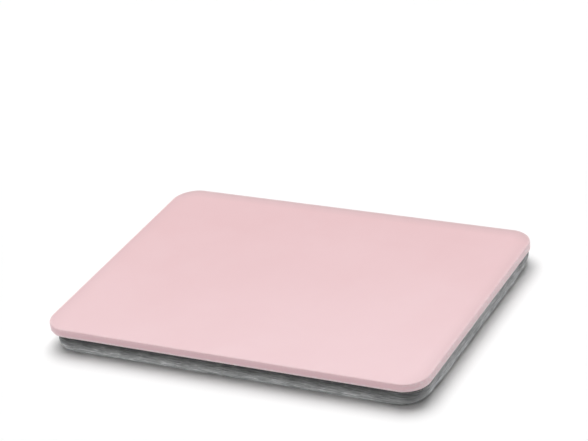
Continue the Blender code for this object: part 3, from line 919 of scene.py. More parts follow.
def softened_copy(node: str, name: str, width: float) -> bpy.types.Object:
    """Return a copy of a solid with small round edges, as casting and tumbling leave them.

    Args:
        node: The solid's node.
        name: The new piece's name.
        width: The width of the rounding.

    Returns:
        The new piece.
    """
    bm = bmesh.new()
    bm.from_mesh(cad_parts[node].data)
    bmesh.ops.remove_doubles(bm, verts=bm.verts, dist=WELD_DISTANCE)
    bmesh.ops.dissolve_limit(bm, angle_limit=FLAT_ANGLE, verts=bm.verts, edges=bm.edges)
    manifold = [edge for edge in bm.edges if edge.is_manifold]
    hard = [edge for edge in manifold if edge.calc_face_angle() > HARD_ANGLE]
    bmesh.ops.bevel(
        bm,
        geom=hard,
        offset=width,
        segments=2,
        profile=0.5,
        affect="EDGES",
        clamp_overlap=True,
    )
    mesh = bpy.data.meshes.new(name)
    bm.to_mesh(mesh)
    bm.free()
    return add_piece(name, mesh)


@dataclass(frozen=True)
class Station:
    """One place on an outline, seen in plan."""

    point: Vector
    outward: Vector
    distance: float

    def inset(self, depth: float, height: float) -> Vector:
        """Return the place moved inwards, at a height."""
        place = self.point - self.outward * depth
        return Vector((place.x, place.y, height))


@dataclass(frozen=True)
class Outline:
    """A rectangle with round corners, centred on the origin, seen in plan."""

    width: float
    depth: float
    radius: float

    @property
    def half_x(self) -> float:
        """Half the length of the straight run along X."""
        return self.width / 2 - self.radius

    @property
    def half_y(self) -> float:
        """Half the length of the straight run along Y."""
        return self.depth / 2 - self.radius

    @property
    def quarter(self) -> float:
        """The length of one corner's arc."""
        return math.pi * self.radius / 2

    @property
    def perimeter(self) -> float:
        """The length all the way round."""
        return 4 * (self.half_x + self.half_y + self.quarter)

    def station(self, distance: float) -> Station:
        """Return a place on the outline.

        Args:
            distance: How far to go from the front's middle, to the right, in metres.

        Returns:
            The place. Its own distance runs from minus to plus half the perimeter, and jumps at
            the middle of the rear.
        """
        centres = (
            (self.half_x, -self.half_y),
            (self.half_x, self.half_y),
            (-self.half_x, self.half_y),
            (-self.half_x, -self.half_y),
        )
        straights = (self.half_x, 2 * self.half_y, 2 * self.half_x, 2 * self.half_y)
        left = distance % self.perimeter
        signed = left if left <= self.perimeter / 2 else left - self.perimeter
        facing = 0.0
        for centre, straight in zip(centres, straights):
            outward = Vector((math.sin(facing), -math.cos(facing)))
            forward = Vector((math.cos(facing), math.sin(facing)))
            if left <= straight:
                point = Vector(centre) + outward * self.radius - forward * (straight - left)
                return Station(point, outward, signed)
            left -= straight
            if left <= self.quarter:
                turn = facing + left / self.radius
                outward = Vector((math.sin(turn), -math.cos(turn)))
                return Station(Vector(centre) + outward * self.radius, outward, signed)
            left -= self.quarter
            facing += math.pi / 2
        outward = Vector((0.0, -1.0))
        return Station(Vector((left - self.half_x, -self.depth / 2)), outward, signed)

    def stations(self, across: int, along: int) -> list[Station]:
        """Return places all round, from the middle of the front left corner to the right.

        Args:
            across: How many steps the front and the rear have.
            along: How many steps the left and the right side have.

        Returns:
            The places. Each corner's middle is one of them.
        """
        run_x = 2 * self.half_x + self.quarter
        run_y = 2 * self.half_y + self.quarter
        start = -run_x / 2
        places = []
        for run, count in ((run_x, across), (run_y, along), (run_x, across), (run_y, along)):
            places += [self.station(start + run * step / count) for step in range(count)]
            start += run
        return places

    def ring(self, corner_steps: int) -> list[Station]:
        """Return places round each corner only, with so many steps each.

        Args:
            corner_steps: How many steps each corner has.

        Returns:
            The places.
        """
        places = []
        start = self.half_x
        for straight in (2 * self.half_y, 2 * self.half_x, 2 * self.half_y, 2 * self.half_x):
            places += [
                self.station(start + self.quarter * step / corner_steps)
                for step in range(corner_steps + 1)
            ]
            start += self.quarter + straight
        return places


def round_edge(radius: float, share: float) -> Point:
    """Return how far in from the side and from the flat face a place on a round edge lies.

    Args:
        radius: The edge's radius.
        share: The place, from 0 on the flat face to 1 on the side.

    Returns:
        The two distances.
    """
    angle = share * math.pi / 2
    return radius * (1 - math.sin(angle)), radius * (1 - math.cos(angle))


def loft(rings: Sequence[Sequence[Vector]], closed: bool = False) -> Shape:
    """Return the shape that joins rings of the same count, one after the other.

    Args:
        rings: The rings of points.
        closed: Whether the last ring joins the first.

    Returns:
        The shape. Without closed, its end rings are capped.
    """
    count = len(rings[0])
    points = [point for ring in rings for point in ring]
    faces = []
    pairs = len(rings) if closed else len(rings) - 1
    for index in range(pairs):
        this = index * count
        following = (index + 1) % len(rings) * count
        for step in range(count):
            after = (step + 1) % count
            faces.append([this + step, this + after, following + after, following + step])
    if not closed:
        faces.append(list(reversed(range(count))))
        faces.append(list(range(len(points) - count, len(points))))
    return points, faces


def thread(path: Sequence[Vector], radius: float, sides: int) -> Shape:
    """Return a length of thread, such as a hook, a loop of pile or a stitch.

    Args:
        path: The points of its middle line.
        radius: Its radius. The ends taper to a third of it.
        sides: How many sides its section has.

    Returns:
        The thread's shape.
    """
    angles = [2 * math.pi * corner / sides for corner in range(sides)]
    rings = []
    side = None
    for index, point in enumerate(path):
        before = path[max(index - 1, 0)]
        after = path[min(index + 1, len(path) - 1)]
        forward = (after - before).normalized()
        if side is None:
            helper = Vector((0, 0, 1)) if abs(forward.z) < 0.9 else Vector((1, 0, 0))
            side = forward.cross(helper).normalized()
        side = (side - forward * side.dot(forward)).normalized()
        other = forward.cross(side)
        reach = radius / 3 if index in (0, len(path) - 1) else radius
        rings.append(
            [point + (side * math.cos(angle) + other * math.sin(angle)) * reach for angle in angles]
        )
    return loft(rings)


@dataclass(frozen=True)
class FilmRing:
    """One ring: inset, height, wear with painted paleness, uprightness and painted rim shade."""

    inset: float
    height: float
    wear: float = 0.0
    side: float = 0.0
    rim: float = 0.0


@dataclass
class Board:
    """The writing board: a film over a fibreboard core, with a paper sheet beneath."""

    corner_radius: float = 26 * MILLIMETRE
    edge_radius: float = 1.5 * MILLIMETRE
    lower_radius: float = 1.0 * MILLIMETRE
    film_thickness: float = 0.8 * MILLIMETRE
    corner_steps: int = 28
    edge_steps: int = 8
    wear_reach: float = 2.2 * MILLIMETRE
    # The lower edge's pale band, up to this height, is partly rubbed and partly painted floor
    # light.
    pale_band_height: float = 1.5 * MILLIMETRE
    clean_height: float = 3.5 * MILLIMETRE
    # rim_fade and the side's share below set the painted shade along the top's edges.
    rim_fade: Point = (0.8, 0.4)
    top_wear: float = 0.25
    right_sheen: float = 0.7
    side_rim_shade: float = 0.35
    corner_slack: float = 1.6 * MILLIMETRE

    def __post_init__(self) -> None:
        """Read the board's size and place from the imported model."""
        low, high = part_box("top_skin")
        self.bottom = low.z
        self.top = high.z
        self.outline = Outline(high.x - low.x, high.y - low.y, self.corner_radius)

    def profile(self) -> list[FilmRing]:
        """Return the film's rings from its lower inner edge, over the side, to the top.

        Returns:
            The rings.
        """
        rings = [FilmRing(self.film_thickness, self.bottom)]
        for step in range(self.edge_steps + 1):
            reach, rise = round_edge(self.lower_radius, step / self.edge_steps)
            rings.append(FilmRing(reach, self.bottom + rise, wear=1.0, side=1.0))
        rings.append(FilmRing(0.0, self.bottom + self.pale_band_height, wear=1.0, side=1.0))
        rings.append(FilmRing(0.0, self.bottom + self.clean_height, side=1.0))
        rings.append(FilmRing(0.0, self.top - self.edge_radius - self.wear_reach, side=1.0))
        for step in range(self.edge_steps + 1):
            share = step / self.edge_steps
            fall, reach = round_edge(self.edge_radius, share)
            height = self.top - fall
            rings.append(FilmRing(reach, height, wear=self.top_wear, side=1 - share, rim=share))
        near, far = self.rim_fade
        rings.append(FilmRing(self.edge_radius + self.wear_reach, self.top, rim=near))
        rings.append(FilmRing(self.corner_radius / 3, self.top, rim=far))
        rings.append(FilmRing(self.corner_radius * 2 / 3, self.top))
        return rings

    def slack(self, place: Station) -> float:
        """Return how much rounder than its radius a corner is: all are but the front right one.

        Args:
            place: A place on the outline.

        Returns:
            How far inside the outline the film lies there.
        """
        turn = abs(place.outward.x) + abs(place.outward.y) - 1
        front_right = place.outward.x > 0 > place.outward.y
        return 0.0 if front_right else self.corner_slack * turn

    def store_shares(
        self, mesh: bpy.types.Mesh, rings: Sequence[FilmRing], stations: Sequence[Station]
    ) -> None:
        """Store each film point's wear with painted paleness, uprightness and painted rim shade.

        Args:
            mesh: The film's mesh, whose first points are the rings'.
            rings: The rings.
            stations: The places round the outline.
        """
        shares: dict[str, list[float]] = {"wear": [], "side": [], "rim": []}
        for ring in rings:
            for place in stations:
                rightward = max(0.0, place.outward.x)
                # Painted shade: full along the rear, a share of it along the sides.
                rim_shading = max(0.0, place.outward.y) + self.side_rim_shade * abs(place.outward.x)
                # Painted reflection: the right side is painted paler, in place of the floor's
                # reflection.
                wear = ring.wear + self.right_sheen * rightward * ring.side
                shares["wear"].append(min(1.0, wear))
                shares["side"].append(ring.side)
                shares["rim"].append(ring.rim * min(1.0, rim_shading))
        for name, values in shares.items():
            unseen = [0.0] * (len(mesh.vertices) - len(values))
            store_numbers(mesh, name, values + unseen)

    def build_film(self) -> bpy.types.Object:
        """Return the film, a thin shell over the board's top and edge.

        Returns:
            The new piece.
        """
        stations = self.outline.ring(self.corner_steps)
        section = self.profile()
        outer = [
            [place.inset(ring.inset + self.slack(place), ring.height) for place in stations]
            for ring in section
        ]
        ceiling = self.top - self.film_thickness
        inside = [
            (self.corner_radius * 2 / 3, ceiling),
            (self.edge_radius, ceiling),
            (self.film_thickness, self.top - self.edge_radius),
        ]
        hidden = [[place.inset(inset, height) for place in stations] for inset, height in inside]
        points, faces = loft(outer + hidden, closed=True)
        count = len(stations)
        last_outer = (len(section) - 1) * count
        first_hidden = len(section) * count
        faces = faces[:last_outer] + faces[first_hidden:]
        faces.append(list(range(last_outer, last_outer + count)))
        faces.append(list(reversed(range(first_hidden, first_hidden + count))))
        mesh = mesh_from("board_film", (points, faces))
        self.store_shares(mesh, section, stations)
        return add_piece("board_film", mesh)

    def build(self) -> None:
        """Build the film, and dress it with the core and the sheet that the model holds."""
        film = self.build_film()
        SatinFilm().dress(film)
        install(film, Body.BOARD, Slot.FILM, "top_skin")
        Fibreboard().dress(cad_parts["board_core"])
        BackingPaper().dress(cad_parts["backing_sheet"])


@dataclass
class FastenerTapes:
    """The hook tapes under the board and the loop tapes on the cushion, one pair on each side."""

    corner_radius: float = 3 * MILLIMETRE
    corner_steps: int = 6
    web_share: float = 0.45
    hook_pitch: float = 2.0 * MILLIMETRE
    hook_radius: float = 0.11 * MILLIMETRE
    hook_reach: float = 0.32 * MILLIMETRE
    hook_curve: tuple[Point, ...] = ((0, -0.15), (0.1, 0.55), (0.45, 0.95), (0.9, 0.9), (1, 0.55))
    selvedge: float = 1.2 * MILLIMETRE
    pile_per_square_mm: float = 0.26
    pile_radius: float = 0.035 * MILLIMETRE
    pile_span: float = 0.8 * MILLIMETRE
    pile_widths: Point = (0.6, 1.1)
    pile_heights: Point = (0.55, 0.95)
    pile_leans: Point = (-0.6, 0.6)
    pile_shoulder: Triple = (0.8, 0.6, 0.7)
    stitch_length: float = 2.4 * MILLIMETRE
    stitch_gap: float = 0.7 * MILLIMETRE
    stitch_inset: float = 0.84 * MILLIMETRE
    stitch_arc: tuple[Point, ...] = ((0, -0.6), (0.15, 0.5), (0.5, 0.8), (0.85, 0.5), (1, -0.6))
    thread_radius: float = 0.13 * MILLIMETRE
    seed: int = 11

    def web(self, low: Vector, high: Vector) -> Shape:
        """Return the woven base of a tape.

        Args:
            low: The lowest corner of its box.
            high: The highest corner.

        Returns:
            The base's shape.
        """
        middle = (low + high) / 2
        outline = Outline(high.x - low.x, high.y - low.y, self.corner_radius)
        stations = outline.ring(self.corner_steps)
        soft = (high.z - low.z) / 4
        section = ((soft, low.z), (0.0, low.z + soft), (0.0, high.z - soft), (soft, high.z))
        shift = Vector((middle.x, middle.y, 0))
        return loft([[place.inset(*ring) + shift for place in stations] for ring in section])

    def spots(self, low: Vector, high: Vector, pitch: float) -> list[tuple[float, float, int]]:
        """Return a grid of places on a tape, inside its selvedges, each with its row's number.

        Args:
            low: The lowest corner of the tape's box.
            high: The highest corner.
            pitch: The distance from one place to the next.

        Returns:
            Each place's X and Y, and the number of its row.
        """
        count_x = int((high.x - low.x - 2 * self.selvedge) / pitch)
        count_y = int((high.y - low.y - 2 * self.selvedge) / pitch)
        middle = (low + high) / 2
        places = []
        for row in range(count_y + 1):
            for column in range(count_x + 1):
                x = middle.x + (column - count_x / 2) * pitch
                y = middle.y + (row - count_y / 2) * pitch
                places.append((x, y, row))
        return places

    def build_hooks(self, side: Side) -> bpy.types.Object:
        """Return a hook tape: a base with rows of small hooks that point down and lean by turns.

        Args:
            side: The side of the board.

        Returns:
            The new piece.
        """
        low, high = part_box(f"hook_strip_{side.value}")
        base = high.z - self.web_share * (high.z - low.z)
        fall = base - low.z
        hooks = []
        for x, y, row in self.spots(low, high, self.hook_pitch):
            lean = self.hook_reach * (1 if row % 2 else -1)
            path = [
                Vector((x + lean * out, y, base - fall * down)) for out, down in self.hook_curve
            ]
            hooks.append(thread(path, self.hook_radius, 4))
        return add_shape(
            f"hook_tape_{side.value}", *hooks, self.web(Vector((low.x, low.y, base)), high)
        )

    def build_loops(self, side: Side) -> bpy.types.Object:
        """Return a loop tape: a base with a tangle of fine loops that stand up.

        Args:
            side: The side of the cushion.

        Returns:
            The new piece.
        """
        low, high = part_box(f"loop_strip_{side.value}")
        base = low.z + self.web_share * (high.z - low.z)
        area = (high.x - low.x) * (high.y - low.y) / MILLIMETRE**2
        dice = random.Random(self.seed + list(Side).index(side))
        reach = self.selvedge + self.pile_span
        pile = []
        for _ in range(int(area * self.pile_per_square_mm)):
            x = dice.uniform(low.x + reach, high.x - reach)
            y = dice.uniform(low.y + reach, high.y - reach)
            turn = dice.uniform(0, math.pi)
            half = self.pile_span / 2 * dice.uniform(*self.pile_widths)
            tall = (high.z - base) * dice.uniform(*self.pile_heights)
            across = Vector((math.cos(turn), math.sin(turn), 0)) * half
            lean = Vector((-across.y, across.x, 0)) * dice.uniform(*self.pile_leans)
            foot = Vector((x, y, base))
            wide, leaning, high_up = self.pile_shoulder
            shoulder = leaning * lean + Vector((0, 0, high_up * tall))
            path = [
                foot - across,
                foot - wide * across + shoulder,
                foot + lean + Vector((0, 0, tall)),
                foot + wide * across + shoulder,
                foot + across,
            ]
            pile.append(thread(path, self.pile_radius, 3))
        return add_shape(
            f"loop_tape_{side.value}", *pile, self.web(low, Vector((high.x, high.y, base)))
        )

    def build_stitches(self, side: Side) -> bpy.types.Object:
        """Return the stitches that hold a loop tape down, just inside its edge.

        Args:
            side: The side of the cushion.

        Returns:
            The new piece.
        """
        low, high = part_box(f"loop_strip_{side.value}")
        base = low.z + self.web_share * (high.z - low.z)
        middle = (low + high) / 2
        outline = Outline(
            high.x - low.x - 2 * self.stitch_inset,
            high.y - low.y - 2 * self.stitch_inset,
            self.corner_radius - self.stitch_inset,
        )
        shift = Vector((middle.x, middle.y, 0))
        step = self.stitch_length + self.stitch_gap
        stitches = []
        for index in range(int(outline.perimeter / step)):
            path = []
            for share, lift in self.stitch_arc:
                place = outline.station(index * step + share * self.stitch_length)
                path.append(place.inset(0.0, base + lift * self.thread_radius) + shift)
            stitches.append(thread(path, self.thread_radius, 5))
        return add_shape(f"loop_stitches_{side.value}", *stitches)

    def build(self) -> None:
        """Build and dress the four pairs of tapes."""
        hook_nylon = FastenerNylon(
            "hook nylon",
            dark=(0.035, 0.035, 0.037),
            pale=(0.060, 0.060, 0.062),
            roughness=0.5,
            sheen=0.0,
        )
        loop_nylon = FastenerNylon(
            "loop nylon",
            dark=(0.030, 0.030, 0.032),
            pale=(0.075, 0.075, 0.078),
            roughness=0.9,
            sheen=0.35,
        )
        hooks = [self.build_hooks(side) for side in Side]
        loops = [self.build_loops(side) for side in Side]
        stitches = [self.build_stitches(side) for side in Side]
        hook_nylon.dress(*hooks)
        loop_nylon.dress(*loops)
        SewingThread(dark=(0.03, 0.03, 0.032), pale=(0.09, 0.09, 0.093)).dress(*stitches)
        for side, hook, loop, stitch in zip(Side, hooks, loops, stitches):
            install(hook, Body.BOARD, Slot.HOOK_TAPE, f"hook_strip_{side.value}")
            install(loop, Body.CUSHION, Slot.LOOP_TAPE, f"loop_strip_{side.value}")
            install(stitch, Body.CUSHION, Slot.LOOP_TAPE)


@dataclass(frozen=True)
class ProfilePoint:
    """One ring of the cushion's side: how far inside the outline, how high, and its panel below."""

    inset: float
    height: float
    panel: Panel
    held: float = 0.0


@dataclass
class CushionForm:
    """The cushion's shape, drawn round its own middle: crowned, with sides that swell low down."""

    board_margin: float = 4.6 * MILLIMETRE
    corner_slack: float = 2.0 * MILLIMETRE
    rim_radius: float = 2.2 * MILLIMETRE
    foot_radius: float = 0.8 * MILLIMETRE
    lift: float = 0.1 * MILLIMETRE
    crown: float = 0.5 * MILLIMETRE
    belly: float = 0.6 * MILLIMETRE
    side_draw: float = 0.8 * MILLIMETRE
    side_swell: float = 0.6 * MILLIMETRE
    head_draw: float = 4.5 * MILLIMETRE
    lean: Point = (-0.7 * MILLIMETRE, -2.1 * MILLIMETRE)
    corner_span: float = 50 * MILLIMETRE
    side_tuck: float = 2.2 * MILLIMETRE
    foot_slack: float = 9.0 * MILLIMETRE
    seam_gap: float = 0.3 * MILLIMETRE
    seam_tuck: float = 0.4 * MILLIMETRE
    seam_drop: float = 2.0 * MILLIMETRE
    # These five numbers shape the painted shade of the cloth under the board.
    daylight: float = 1.32
    daylight_fall: float = 2.4
    side_shade: float = 0.36
    corner_shade: float = 0.667
    corner_evening: float = 0.52
    rim_shares: tuple[float, ...] = (0.0, 0.30, 0.62, 0.9)
    foot_shares: tuple[float, ...] = (1.0, 0.62, 0.30, 0.0)
    wall_rows: int = 7
    first_row: float = 0.35
    last_row: float = 0.3
    across: int = 88
    along: int = 64

    def __post_init__(self) -> None:
        """Read the cushion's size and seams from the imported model."""
        board_low, board_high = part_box("top_skin")
        top_low, top_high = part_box("cover_top_panel")
        wall_low, wall_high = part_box("cover_side_wall")
        _, bottom_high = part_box("cover_bottom_panel")
        radius = Board.corner_radius - self.board_margin + self.corner_slack
        self.outline = Outline(
            board_high.x - board_low.x - 2 * self.board_margin,
            board_high.y - board_low.y - 2 * self.board_margin,
            radius,
        )
        self.height = top_high.z - self.crown
        self.upper_seam = (top_low.z + wall_high.z) / 2
        self.lower_seam = (wall_low.z + bottom_high.z) / 2
        self.rear_face = wall_high.y
        middle_x = (wall_low.x + wall_high.x) / 2
        self.middle = Vector((middle_x, self.rear_face - self.outline.depth / 2, 0))

    def swell(self, x: float, y: float) -> float:
        """Return how much of the crown stands at a place, from 0 to 1.

        Args:
            x: The place along X, from the middle.
            y: The place along Y, from the middle.

        Returns:
            The share: 1 in the middle and 0 at the outline.
        """
        x_share = 2 * x / self.outline.width
        y_share = 2 * y / self.outline.depth
        return max(0.0, 1 - x_share**2) * max(0.0, 1 - y_share**2)

    def draw(self, place: Station) -> float:
        """Return how far the front and the sides draw in at a place on the outline.

        Args:
            place: The place on the outline.

        Returns:
            The distance.
        """
        x_share = 2 * place.point.x / self.outline.width
        y_share = 2 * place.point.y / self.outline.depth
        sideways = abs(place.outward.x) * max(0.0, 1 - y_share**2)
        forward = max(0.0, -place.outward.y) * max(0.0, 1 - x_share**2)
        return self.side_draw * (sideways + forward)

    def reach(self, place: Station, height: float) -> float:
        """Return how far the side stands out of the outline at a place and height.

        Args:
            place: The place on the outline.
            height: The height above the floor.

        Returns:
            The distance. The rear stays straight, because the zip stiffens it.
        """
        share = min(1.0, max(0.0, (height - self.lift) / (self.height - self.lift)))
        swell = self.side_swell * math.sin(math.pi * math.cbrt(share))
        lean = place.outward.dot(Vector(self.lean)) * (1 - 2 * share)
        corner = self.corner(place)
        side = self.side_tuck * place.outward.x**2 * corner
        tuck = (side + self.rounding(place)) * (1 - share) ** 4
        head = self.head_draw * (1 - corner) * share**3
        return self.free(place) * (swell + lean - head - tuck) - self.draw(place)

    def rounding(self, place: Station) -> float:
        """Return how far inside the outline one with rounder corners lies at a place.

        Args:
            place: The place on the outline.

        Returns:
            The distance.
        """
        inner = (self.outline.half_x - self.foot_slack, self.outline.half_y - self.foot_slack)
        from_centre = Vector(
            [max(0.0, abs(value) - half) for value, half in zip(place.point.xy, inner)]
        )
        along = from_centre.dot(Vector((abs(place.outward.x), abs(place.outward.y))))
        radius = self.outline.radius + self.foot_slack
        return along - math.sqrt(max(0.0, along**2 - from_centre.length_squared + radius**2))

    def corner(self, place: Station) -> float:
        """Return how near a place on the outline is to a corner, from 0 to 1.

        Args:
            place: The place on the outline.

        Returns:
            The nearness: 0 from one corner span away.
        """
        near = 1.0
        halves = (self.outline.half_x, self.outline.half_y)
        for value, half in zip(place.point.xy, halves):
            step = min(1.0, max(0.0, (abs(value) - half) / self.corner_span + 1))
            near *= step * step * (3 - 2 * step)
        return near

    def free(self, place: Station) -> float:
        """Return how free of the zip the side is at a place, from 0 at the rear to 1."""
        return 1 - max(0.0, place.outward.y)

    def level(self, place: Station, height: float) -> float:
        """Return a ring's height at a place: the lower seam drops where no zip holds it up.

        Args:
            place: The place on the outline.
            height: The ring's height where the zip holds it.

        Returns:
            The height there.
        """
        if height < self.lower_seam:
            near = height / self.lower_seam
        else:
            near = max(0.0, (self.upper_seam - height) / (self.upper_seam - self.lower_seam))
        return height - self.seam_drop * near * self.free(place)

    def painted_shade(self, place: Station, height: float) -> float:
        """Return how much shade is painted into the cloth under the board, from 0 to 1.

        Args:
            place: The place on the outline.
            height: The height above the floor.

        Returns:
            The painted shade: most at the head of the front, and more even at the front right
                corner.
        """
        run = self.upper_seam - self.lower_seam
        share = min(1.0, max(0.0, (height - self.lower_seam) / run))
        front = max(0.0, -place.outward.y)
        dark = max(0.0, 1 - self.daylight * math.exp(-self.daylight_fall * share))
        dark *= self.side_shade + (1 - self.side_shade) * front
        if place.point.x < 0:
            return dark
        evening = self.corner_evening * self.corner(place) * front
        return dark + evening * (self.corner_shade - dark)

    def section(self) -> list[ProfilePoint]:
        """Return the rings of the side, from the rim above to the rim below.

        Returns:
            The rings.
        """
        tuck = self.seam_tuck
        gap = self.seam_gap / 2
        rings = []
        for share in self.rim_shares:
            across, down = round_edge(self.rim_radius, share)
            rings.append(ProfilePoint(across, self.height - down, Panel.TOP))
        rings.append(ProfilePoint(tuck, self.upper_seam + gap, Panel.DROPPED, 1.0))
        rings.append(ProfilePoint(tuck, self.upper_seam - gap, Panel.WALL, 1.0))
        run = self.upper_seam - self.lower_seam - 2 * gap
        for row in range(self.wall_rows):
            share = (row + self.first_row) / (self.wall_rows - self.last_row)
            rings.append(ProfilePoint(0.0, self.upper_seam - gap - share * run, Panel.WALL))
        rings.append(ProfilePoint(tuck, self.lower_seam + gap, Panel.DROPPED, 1.0))
        rings.append(ProfilePoint(tuck, self.lower_seam - gap, Panel.BOTTOM, 1.0))
        for share in self.foot_shares:
            across, up = round_edge(self.foot_radius, share)
            rings.append(ProfilePoint(across, self.lift + up, Panel.BOTTOM))
        return rings


class Skin:
    """A closed skin of the cushion's form: rings round its side, and a grid above and below."""

    def __init__(self, form: CushionForm, rings: Sequence[Sequence[Vector]]) -> None:
        """Join the rings of the side.

        Args:
            form: The form.
            rings: The rings' points, from the upper ring down. They begin at the front left corner.
        """
        self.form = form
        self.count = len(rings[0])
        self.last = (len(rings) - 1) * self.count
        self.points = [point for ring in rings for point in ring]
        self.faces: list[list[int]] = []
        for this in range(0, self.last, self.count):
            below = this + self.count
            for step in range(self.count):
                after = (step + 1) % self.count
                self.faces.append([this + step, below + step, below + after, this + after])

    def grid(self, border: Sequence[Vector], level: float, bulge: float) -> dict[Cell, Vector]:
        """Return the inner points of a grid that fills a border.

        Args:
            border: The border's points, from the front left corner to the right and round.
            level: The grid's height without its bulge.
            bulge: How much higher its middle stands.

        Returns:
            The points, by column and row. None lies below the floor.
        """
        across, along = self.form.across, self.form.along
        front = border[: across + 1]
        right = border[across : across + along + 1]
        back = list(reversed(border[across + along : 2 * across + along + 1]))
        left = [border[0], *reversed(border[2 * across + along :])]
        points = {}
        for column in range(1, across):
            s = column / across
            ends = (front[0] * (1 - s) + front[-1] * s, back[0] * (1 - s) + back[-1] * s)
            for row in range(1, along):
                t = row / along
                edges = front[column] * (1 - t) + back[column] * t
                edges = edges + left[row] * (1 - s) + right[row] * s
                place = edges - (ends[0] * (1 - t) + ends[1] * t)
                height = level + bulge * self.form.swell(place.x, place.y)
                points[column, row] = Vector((place.x, place.y, max(0.0, height)))
        return points

    def close(self, is_top: bool, level: float, bulge: float) -> dict[Cell, Vector]:
        """Close the skin above or below with a grid.

        Args:
            is_top: Whether the grid is the upper one.
            level: The grid's height without its bulge.
            bulge: How much higher its middle stands.

        Returns:
            The grid's inner points, by column and row.
        """
        across, along = self.form.across, self.form.along
        first = 0 if is_top else self.last
        inner = self.grid(self.points[first : first + self.count], level, bulge)
        places = {cell: len(self.points) + index for index, cell in enumerate(inner)}
        self.points += inner.values()
        for column in range(across + 1):
            places[column, 0] = first + column
            places[column, along] = first + 2 * across + along - column
        for row in range(along + 1):
            places[across, row] = first + across + row
            places[0, row] = first + (self.count - row) % self.count
        for column in range(across):
            for row in range(along):
                steps = ((0, 0), (1, 0), (1, 1), (0, 1))
                face = [places[column + right, row + up] for right, up in steps]
                self.faces.append(face if is_top else face[::-1])
        return inner


